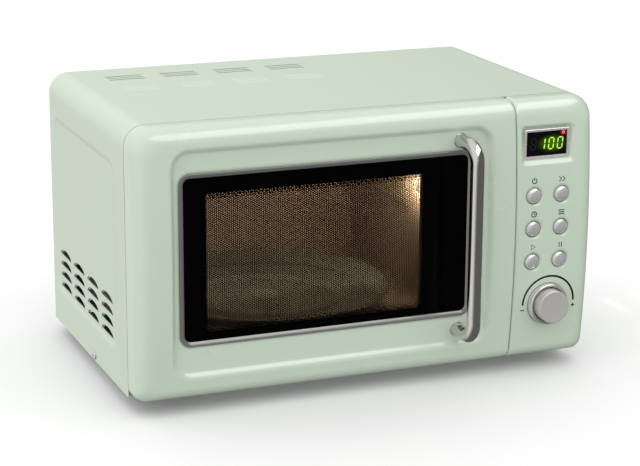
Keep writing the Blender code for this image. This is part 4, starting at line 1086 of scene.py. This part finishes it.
def build_screen():
    """Sheet with a hexagonal lattice of holes, in two parts, and the plain margin that holds it."""
    x0, x1, z0, z1 = SCREEN_OPENING
    columns = int((x1 - x0) / (HOLE_PITCH * math.sqrt(3) / 2))
    rows = int((z1 - z0) / HOLE_PITCH)
    build_lattice("screen_lattice_left", 0, columns // 2, rows, ["door_screen"])
    build_lattice("screen_lattice_right", columns // 2, columns, rows)

    front = node_box("door_screen")[0].y
    steps = {"arc": 4, "up": 2, "across": 2}
    outer = Outline(front_rectangle("door_screen"), 5 * MM, **steps)
    inner = Outline(SCREEN_OPENING, 1.5 * MM, **steps)
    bm = bmesh.new()
    near, far = front - 0.4 * MM, front - 0.1 * MM
    sides = ((outer, near), (outer, far), (inner, far), (inner, near))
    rings = [level_ring(bm, loop, lambda z, y=y: y) for loop, y in sides]
    skin(bm, rings + [rings[0]])
    piece("screen_margin", bm, "screen_steel", "door", material=PRINT_BLACK)


def build_handle():
    """Bright tube handle, bent back to the door at both ends, on low round washers."""
    low, high = node_box("handle")
    core = (high.x - low.x) / 2
    x = (low.x + high.x) / 2
    bar_y = low.y + core
    foot_low, foot_high = low.z + core, high.z - core
    radius = core + 0.4 * MM
    bend = 15 * MM
    arc_steps = 16
    lower = [Vector((x, RECESS_Y - 0.1 * MM, foot_low)), Vector((x, (RECESS_Y + bar_y + bend) / 2, foot_low))]
    for step in range(arc_steps + 1):
        turn = math.pi / 2 * step / arc_steps
        lower.append(Vector((x, bar_y + bend * (1 - math.sin(turn)), foot_low + bend * (1 - math.cos(turn)))))
    upper = [Vector((x, place.y, foot_low + foot_high - place.z)) for place in lower[::-1]]
    middle = [lower[-1].lerp(upper[0], share / 6) for share in range(1, 6)]
    bm = bmesh.new()
    sweep(bm, lower + middle + upper, radius, 40)
    piece("handle_tube", bm, "chrome", "door", ["handle"], smooth=60)
    washers = bmesh.new()
    for z in (foot_low, foot_high):
        profile = [(0, 1.0 * MM), (radius + 0.4 * MM, 0.9 * MM), (radius + 0.6 * MM, 0), (0, 0)]
        profile = rounded_profile(profile, 0.4 * MM)
        turned(washers, profile, facing_front(x, RECESS_Y, z))
    piece("handle_washers", washers, "chrome", "door")


# ---------------------------------------------------------------- control panel

def build_buttons():
    for name in BUTTONS:
        low, high = node_box(name)
        radius = (high.x - low.x) / 2
        centre = (low + high) / 2
        dome = 4.0 * MM
        steps = 12
        profile = [(radius * 0.95 * math.sin(math.pi / 2 * step / steps),
                    -dome * (1 - math.cos(math.pi / 2 * step / steps))) for step in range(steps)]
        profile += [(radius * 0.985, -dome - 0.1 * MM), (radius, -dome - 0.7 * MM), (radius, -8.5 * MM),
                    (3 * MM, -9 * MM), (3 * MM, low.y - high.y), (0, low.y - high.y)]
        bm = bmesh.new()
        turned(bm, profile, facing_front(centre.x, low.y, centre.z))
        piece(f"{name}_cap", bm, "button_silver", name, [name], smooth=50)


def build_knob():
    low, high = node_box("selector_knob")
    radius = (high.x - low.x) / 2
    length = high.y - low.y
    edge = 1.1 * MM
    rim = [(radius - edge + edge * math.sin(turn), -edge * (1 - math.cos(turn)))
           for turn in (math.pi / 2 * step / 6 for step in range(7))]
    dish = [(0, -0.5 * MM), (radius * 0.5, -0.42 * MM), (radius * 0.8, -0.2 * MM)]
    stem = 2.9 * MM
    profile = dish + rim + [(radius, -length * 0.72), (stem, -length * 0.75), (stem, -length), (0, -length)]
    bm = bmesh.new()
    turned(bm, profile, facing_front(KNOB.x, low.y, KNOB.z), 96)
    piece("knob_cap", bm, "brushed_knob", "knob", ["selector_knob"], smooth=50)

    low, high = node_box("knob_bezel")
    outer = (high.x - low.x) / 2
    inner = 15.6 * MM
    base = low.y - high.y
    profile = [
        (inner, -3.4 * MM), (inner + 0.3 * MM, -2.7 * MM), (inner + 1.0 * MM, -1.2 * MM),
        (inner + 1.5 * MM, -0.4 * MM), (inner + 2.1 * MM, 0), (outer - 0.9 * MM, -0.3 * MM),
        (outer - 0.4 * MM, -0.9 * MM), (outer, -2.2 * MM), (outer, base), (inner + 0.8 * MM, base),
    ]
    bm = bmesh.new()
    turned(bm, profile, facing_front(KNOB.x, low.y, KNOB.z), 96)
    piece("knob_ring", bm, "chrome", "cabinet", ["knob_bezel"], material=RING_CHROME, smooth=50)


def surface_band(bm, line, width, closed=False, thick=0.06 * MM, base=0.02 * MM):
    """A printed line of a width, laid on the bowed front along points (x, z)."""
    count = len(line)
    rings = []
    for index, (x, z) in enumerate(line):
        before = line[(index - 1) % count] if closed or index else line[index]
        after = line[(index + 1) % count] if closed or index < count - 1 else line[index]
        along = Vector((after[0] - before[0], after[1] - before[1])).normalized()
        side = Vector((-along.y, along.x)) * width / 2
        section = []
        for offset, lift in ((side, base - thick), (side, base), (-side, base), (-side, base - thick)):
            px, pz = x + offset.x, z + offset.y
            section.append(bm.verts.new((px, front_face(pz) + lift, pz)))
        rings.append(section)
    pairs = list(zip(rings, rings[1:]))
    if closed:
        pairs.append((rings[-1], rings[0]))
    for first, second in pairs:
        bridge(bm, first, second)
    if not closed:
        bm.faces.new(rings[0])
        bm.faces.new(rings[-1][::-1])


def arc_line(x, z, radius, start, end, steps=32):
    angles = [math.radians(start + (end - start) * step / steps) for step in range(steps + 1)]
    return [(x + radius * math.cos(angle), z + radius * math.sin(angle)) for angle in angles]


def button_marks():
    """Open and closed lines of each button's plain symbol, about (0, 0), in millimetres."""
    circle = arc_line(0, 0, 1.7, 0, 360, 24)[:-1]
    return {
        "power_button": [(arc_line(0, 0, 1.6, 125, 415, 20), False), ([(0, 0.2), (0, 2.2)], False)],
        "express_button": [([(x, 1.6), (x + 1.6, 0), (x, -1.6)], False) for x in (-1.9, 0.5)],
        "clock_button": [(circle, True), ([(0, 1.1), (0, 0), (0.9, -0.3)], False)],
        "menu_button": [([(-2, h), (2, h)], False) for h in (-1.3, 0, 1.3)],
        "start_button": [([(-1.2, 1.6), (1.6, 0), (-1.2, -1.6)], True)],
        "stop_button": [([(x, 1.6), (x, -1.6)], False) for x in (-0.8, 0.8)],
    }


def build_print():
    """Dark green print: an arc over the knob with minus and plus, and a symbol over each button."""
    bm = bmesh.new()
    scale_radius = 26.2 * MM
    scale_x = KNOB.x + 1.4 * MM
    surface_band(bm, arc_line(scale_x, KNOB.z, scale_radius, 0, 180, 64), 1.9 * MM)
    for side, strokes in ((-1, ("level",)), (1, ("level", "upright"))):
        x, z = scale_x + side * scale_radius, KNOB.z - 5.0 * MM
        arm = 1.9 * MM
        stroke = 1.0 * MM
        if "level" in strokes:
            surface_band(bm, [(x - arm, z), (x + arm, z)], stroke)
        if "upright" in strokes:
            surface_band(bm, [(x, z + stroke / 2), (x, z + arm)], stroke)
            surface_band(bm, [(x, z - arm), (x, z - stroke / 2)], stroke)
    mark_height = 14.0 * MM
    mark_scale = 1.45 * MM
    for name, lines in button_marks().items():
        centre = centre_of(name)
        for line, closed in lines:
            place = [(centre.x + x * mark_scale, centre.z + mark_height + z * mark_scale) for x, z in line]
            surface_band(bm, place, 0.9 * MM, closed)
    piece("panel_print", bm, "black_plastic", "cabinet", material=PRINT_INK)


def digit_bars(segments, x, z, height, width, slant, stroke):
    """Outlines of lit segments of a digit whose lower left corner is (x, z)."""
    half = height / 2
    gap = 0.35 * MM
    tip = stroke / 2
    places = {
        "top": ((0, height), (width, height)),
        "middle": ((0, half), (width, half)),
        "bottom": ((0, 0), (width, 0)),
        "upper left": ((0, half), (0, height)), "upper right": ((width, half), (width, height)),
        "lower left": ((0, 0), (0, half)), "lower right": ((width, 0), (width, half)),
    }
    outlines = []
    for segment in segments:
        start, end = (Vector(point) for point in places[segment])
        along = (end - start).normalized()
        side = Vector((-along.y, along.x)) * tip
        start, end = start + along * gap, end - along * gap
        points = (start, start + along * tip + side, end - along * tip + side, end,
                  end - along * tip - side, start + along * tip - side)
        outlines.append([(x + point.x + slant * point.y, z + point.y) for point in points])
    return outlines


def build_display():
    """Silver frame, smoked lens, glowing digits with one dark place, and a red ring lamp."""
    low, high = node_box("display_bezel")
    lens_low, lens_high = node_box("display_lens")
    pane = front_rectangle("display_lens", -1.5 * MM)
    steps = {"arc": 5, "up": 2, "across": 2}
    rim = high.x - pane[1]
    front = low.y + 1.3 * MM
    section = [(rim, high.y), (rim, front + 0.4 * MM), (rim - 0.4 * MM, front), (0.8 * MM, front + 0.1 * MM),
               (0.2 * MM, front + 0.5 * MM), (0, front + 1.2 * MM), (0, high.y)]
    bm = bmesh.new()
    bead(bm, lambda growth: Outline(grown(pane, growth), 0.5 * MM + growth * 0.6, **steps), section)
    piece("display_frame", bm, "bezel_silver", "cabinet", ["display_bezel"], smooth=30)

    height = 10.2 * MM
    width = 4.7 * MM
    pitch = 9.0 * MM
    slant = 0.10
    stroke = 1.15 * MM
    base_z = pane[2] + 5.6 * MM
    first_x = pane[0] + 4.6 * MM
    lens_y = lens_low.y
    zero = ("top", "bottom", "upper left", "upper right", "lower left", "lower right")
    lit = digit_bars(("upper right", "lower right"), first_x + pitch, base_z, height, width, slant, stroke)
    lit += digit_bars(zero, first_x + 2 * pitch, base_z, height, width, slant, stroke)
    lit += digit_bars(zero, first_x + 3 * pitch, base_z, height, width, slant, stroke)
    dark = digit_bars((*zero, "middle"), first_x, base_z, height, width, slant, stroke)
    groups = (("display_digits", lit, DIGIT_GREEN), ("display_dark_digit", dark, DIGIT_DARK))
    for name, outlines, material in groups:
        bm = bmesh.new()
        for outline in outlines:
            front = [bm.verts.new((x, lens_y - 0.06 * MM, z)) for x, z in outline]
            back = [bm.verts.new((x, lens_y - 0.01 * MM, z)) for x, z in outline]
            bridge(bm, front, back)
            bm.faces.new(front)
            bm.faces.new(back[::-1])
        piece(name, bm, "display_glass", "cabinet", material=material, smooth=20)

    lamp_x, lamp_z = pane[1] - 3.4 * MM, pane[3] - 2.2 * MM
    bm = bmesh.new()
    ring = [(0.6 * MM, 0.02 * MM), (0.8 * MM, 0.1 * MM), (1.3 * MM, 0.1 * MM), (1.5 * MM, 0.02 * MM)]
    turned(bm, ring, facing_front(lamp_x, lens_y, lamp_z), 32)
    piece("display_lamp", bm, "display_glass", "cabinet", material=LED_RED)

    digits_x = first_x + 2.4 * pitch + DATUM.x
    spots = [
        (digits_x, base_z + height / 2 + DATUM.z, 17 * MM, 9.5 * MM, (0.045, 0.13, 0.0)),
        (lamp_x + DATUM.x, lamp_z + DATUM.z, 4.2 * MM, 4.2 * MM, (0.35, 0.008, 0.015)),
    ]
    bm = bmesh.new()
    add_box(bm, lens_low.x, lens_high.x, lens_low.y, lens_high.y, lens_low.z, lens_high.z)
    lens = piece("display_window", bm, "display_glass", "cabinet", ["display_lens"],
                 material=display_glass("display_glass", spots))
    bake_modifiers(round_edges(lens, 0.3 * MM))


# ---------------------------------------------------------------- back, underside and inside

def build_feet():
    for end in ("front", "rear"):
        for side in ("left", "right"):
            name = f"foot_{end}_{side}"
            low, high = node_box(name)
            centre = (low + high) / 2
            radius = (high.x - low.x) / 2
            drop = high.z - low.z
            outer = rounded_profile([
                (0, 0), (radius, 0), (radius, -3 * MM), (radius - 2.5 * MM, -drop + 1.5 * MM),
                (radius - 3.5 * MM, -drop), (radius - 6.5 * MM, -drop), (radius - 7.2 * MM, -drop + 1.2 * MM),
                (0, -drop + 1.2 * MM)], 0.8 * MM)
            bm = bmesh.new()
            turned(bm, outer, Matrix.Translation((centre.x, centre.y, high.z)), 48)
            piece(f"{name}_pad", bm, "foot_rubber", "cabinet", [name])


def cross_slot(bm, matrix, reach, depth):
    """The crossed slots of a screw head as one cutter, a plus-shaped bar."""
    half = 0.45 * MM
    quarter = [(reach, -half), (reach, half), (half, half)]
    outline = []
    for turn in range(4):
        sine, cosine = (0, 1, 0, -1)[turn], (1, 0, -1, 0)[turn]
        outline += [(x * cosine - y * sine, x * sine + y * cosine) for x, y in quarter]
    ends = [[bm.verts.new(matrix @ Vector((x, y, z))) for x, y in outline] for z in (-depth, depth)]
    bridge(bm, *ends)
    bm.faces.new(ends[0])
    bm.faces.new(ends[1][::-1])


def screw(name, matrix, radius, stands_for=()):
    """A pan-head screw whose head stands out along +Z of the matrix."""
    head = 0.5 * radius
    steps = 8
    profile = [(0, head)]
    for step in range(1, steps + 1):
        turn = math.pi / 2 * step / steps
        profile.append((radius * math.sin(turn), head * (0.25 + 0.75 * math.cos(turn))))
    profile += [(radius, 0), (radius * 0.44, 0), (radius * 0.44, -6 * MM), (0, -7 * MM)]
    bm = bmesh.new()
    turned(bm, profile, matrix, 32)
    obj = piece(name, bm, "screw_steel", "cabinet", list(stands_for))
    slot = bmesh.new()
    cross_slot(slot, matrix @ Matrix.Translation((0, 0, head)), radius * 0.55, 0.45 * head)
    cut(obj, slot)


def build_screws():
    for name, side in (("cover_screw_left", -1), ("cover_screw_right", 1)):
        low, high = node_box(name)
        centre = (low + high) / 2
        place = Matrix.Translation((side * HALF_WIDTH, centre.y, centre.z))
        matrix = place @ Matrix.Rotation(side * math.pi / 2, 4, "Y")
        screw(f"{name}_head", matrix, (high.z - low.z) / 2, [name])
    back = COVER_DEPTH + 0.1 * MM
    places = [(x, z) for x in (-212 * MM, 212 * MM) for z in (20 * MM, 120 * MM, 215 * MM)]
    places += [(x, 236.5 * MM) for x in (-120 * MM, 0, 120 * MM)] + [(-60 * MM, 6 * MM), (60 * MM, 6 * MM)]
    for index, (x, z) in enumerate(places):
        matrix = Matrix.Translation((x, back, z)) @ Matrix.Rotation(-math.pi / 2, 4, "X")
        screw(f"back_screw_{index + 1}", matrix, 3.2 * MM)


def build_gland():
    low, high = node_box("cord_gland")
    centre = (low + high) / 2
    profile = rounded_profile([
        (3.6 * MM, 2.6 * MM), (4.4 * MM, 3.0 * MM), (7 * MM, 3.0 * MM), (9 * MM, 1.5 * MM),
        (9 * MM, 0.3 * MM),
        (6.2 * MM, 0.3 * MM), (6.2 * MM, -5 * MM), (3.6 * MM, -5 * MM)], 0.4 * MM)
    bm = bmesh.new()
    place = Matrix.Translation((centre.x, high.y - 3 * MM, centre.z))
    turned(bm, profile, place @ Matrix.Rotation(-math.pi / 2, 4, "X"), 48)
    piece("gland_bush", bm, "black_plastic", "cabinet", ["cord_gland"])


def build_turntable():
    """Pressed glass tray with a raised rim, a low ring bead on its top and a smooth foot ring."""
    low, high = node_box("glass_turntable")
    radius = (high.x - low.x) / 2
    rise = high.z - low.z
    profile = [(0, 4 * MM), (radius * 0.55, 4 * MM), (radius * 0.6, 4.5 * MM), (radius * 0.65, 4 * MM)]
    profile += [(104 * MM, 4 * MM), (112 * MM, 6.5 * MM), (118 * MM, 10.5 * MM), (120.5 * MM, rise),
                (radius - 0.6 * MM, rise), (radius, rise - 0.6 * MM), (radius - 2 * MM, 9.5 * MM),
                (114 * MM, 3 * MM), (106 * MM, 0.2 * MM), (104 * MM, 0), (0, 0)]
    bm = bmesh.new()
    turned(bm, profile, Matrix.Translation((TABLE.x, TABLE.y, low.z)), 96)
    piece("turntable_tray", bm, "turntable_glass", "turntable", ["glass_turntable"], smooth=50)


CARRIED = {
    "galvanised": (
        "base_plate", "hinge_bracket_upper", "hinge_bracket_lower", "rear_panel", "waveguide",
        "door_pan",
    ),
    "zinc_plated": ("capacitor", "fan_motor", "magnetron", "turntable_motor"),
    "cavity_paint": ("cavity_floor", "cavity_rear", "cavity_wrap"),
    "lamp_glass": ("cavity_lamp",),
    "circuit_board": ("control_board",),
    "grey_plastic": ("encoder", "fan_housing"),
    "cream_plastic": (
        "fan_blade", "latch_bracket", "hinge_bush_upper", "hinge_bush_lower", "door_latch",
        "drive_coupler", "roller_ring", "roller_1", "roller_2", "roller_3",
    ),
    "frame_paint": ("front_frame",),
    "black_plastic": ("lower_switch", "upper_switch"),
    "laminated_steel": ("transformer",),
    "mica": ("waveguide_cover",),
    "clear_film": ("inner_window",),
    "choke_plastic": ("choke_cover",),
}


def dress_carried_nodes():
    """Give each CAD node that stays in view the detailed material of its slot."""
    for slot, nodes in CARRIED.items():
        for name in nodes:
            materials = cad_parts[name].data.materials
            materials.clear()
            materials.append(MATERIALS[slot])


# ---------------------------------------------------------------- stage

def build_floor():
    """A pale floor on which the feet stand."""
    bm = bmesh.new()
    bmesh.ops.create_grid(bm, x_segments=1, y_segments=1, size=6.0)
    mesh = bpy.data.meshes.new("floor")
    bm.to_mesh(mesh)
    bm.free()
    material, tree, shader = start_material("floor_white", Roughness=0.9, Specular_IOR_Level=0.1)
    tint(tree, shader, noise(tree, 3.0), (0.90, 0.90, 0.90), (0.92, 0.92, 0.92))
    mesh.materials.append(material)
    floor = bpy.data.objects.new("floor", mesh)
    floor.location.z = CAD_BOX[0].z - 0.2 * MM
    floor.visible_diffuse = False
    floor.visible_glossy = False
    bpy.context.scene.collection.objects.link(floor)


def add_light(name, kind, energy, place, colour=(1.0, 1.0, 1.0)):
    light = bpy.data.lights.new(name, kind)
    light.energy = energy
    light.color = colour
    obj = bpy.data.objects.new(name, light)
    obj.location = place
    bpy.context.scene.collection.objects.link(obj)
    return obj


def make_rectangular(light, width, height):
    light.shape = "RECTANGLE"
    light.size = width
    light.size_y = height


def build_lights():
    """A soft box that shows as a highlight, the oven's lamp, and its light from all the walls."""
    width, height, radiance = 1.7, 0.65, 3.2
    place, target = Vector((0.43, -0.60, 1.25)), Vector((0.0, -0.1, 0.2))
    box = add_light("top_box", "AREA", radiance * math.pi * width * height, place)
    make_rectangular(box.data, width, height)
    box.rotation_euler = (target - place).to_track_quat("-Z", "Y").to_euler()
    box.visible_diffuse = False

    lamp = centre_of("cavity_lamp") + DATUM
    inner_wall = node_box("waveguide_cover")[1].x
    glow = add_light("cavity_glow", "POINT", 1.1, (inner_wall - 12 * MM, lamp.y, lamp.z), (1.0, 0.74, 0.47))
    glow.data.shadow_soft_size = 5 * MM
    glow.visible_glossy = False

    low, high = node_box("cavity_wrap")
    place = ((low.x + high.x) / 2, low.y + 6 * MM, (low.z + high.z) / 2)
    fill = add_light("cavity_fill", "AREA", 0.45, place, (1.0, 0.76, 0.58))
    make_rectangular(fill.data, 240 * MM, 120 * MM)
    fill.rotation_euler = (math.pi / 2, 0, 0)
    fill.visible_camera = False
    fill.visible_glossy = False


def brightness_along(tree, direction, base, gradient):
    """Brightness that changes evenly with direction, as base + gradient . direction."""
    dot = add_node(tree, "ShaderNodeVectorMath", {0: direction, 1: gradient}, operation="DOT_PRODUCT")
    return add_node(tree, "ShaderNodeMath", {0: dot.outputs["Value"], 1: base}, operation="ADD").outputs[0]


def build_world():
    """White surroundings, brightest up and to the left; reflections see them darker in front."""
    world = bpy.data.worlds.new("studio")
    bpy.context.scene.world = world
    world.use_nodes = True
    tree = world.node_tree
    tree.nodes.clear()
    direction = add_node(tree, "ShaderNodeTexCoord").outputs["Generated"]
    path = add_node(tree, "ShaderNodeLightPath").outputs
    even = brightness_along(tree, direction, 1.0, (-0.24, -0.20, 0.75))
    contrast = remap(tree, brightness_along(tree, direction, 0.0, (-0.8, 0.3, 0.5)), 0.18, 1.15, -0.1, 0.45)
    lighting = add_node(tree, "ShaderNodeMix", {0: path["Is Glossy Ray"], 2: even, 3: contrast})
    shown = add_node(tree, "ShaderNodeMix", {0: path["Is Camera Ray"], 2: lighting.outputs[0], 3: 1.0})
    background = add_node(tree, "ShaderNodeBackground", {"Strength": shown.outputs[0]})
    add_node(tree, "ShaderNodeOutputWorld", {"Surface": background.outputs[0]})


def build_camera():
    """A long lens from the front left, a little above the object."""
    camera = bpy.data.cameras.new("camera")
    camera.lens = 113.975
    camera.sensor_width = 36
    camera.clip_start = 0.05
    azimuth, elevation, roll = -0.38129446, 0.26932303, 0.00570805
    right = Vector((math.cos(azimuth), math.sin(azimuth), 0))
    back = Vector((
        math.sin(azimuth) * math.cos(elevation), -math.cos(azimuth) * math.cos(elevation),
        math.sin(elevation)))
    up = back.cross(right)
    across = right * math.cos(roll) + up * math.sin(roll)
    upward = up * math.cos(roll) - right * math.sin(roll)
    obj = bpy.data.objects.new("camera", camera)
    obj.matrix_world = Matrix((
        (across.x, upward.x, back.x, -0.68737), (across.y, upward.y, back.y, -1.72128),
        (across.z, upward.z, back.z, 0.62703), (0, 0, 0, 1)))
    bpy.context.scene.collection.objects.link(obj)
    bpy.context.scene.camera = obj


build_door_front()
build_panel_front()
build_cover_skin()
build_louvre_hoods()
build_seam_shade_strips()
build_slit_shade_plate()
build_top_ribs()
build_window()
build_print_fringe()
build_screen()
build_handle()
build_buttons()
build_knob()
build_print()
build_display()
build_feet()
build_screws()
build_gland()
build_turntable()
dress_carried_nodes()
build_floor()
build_lights()
build_world()
build_camera()
bpy.context.scene.view_settings.view_transform = "Standard"
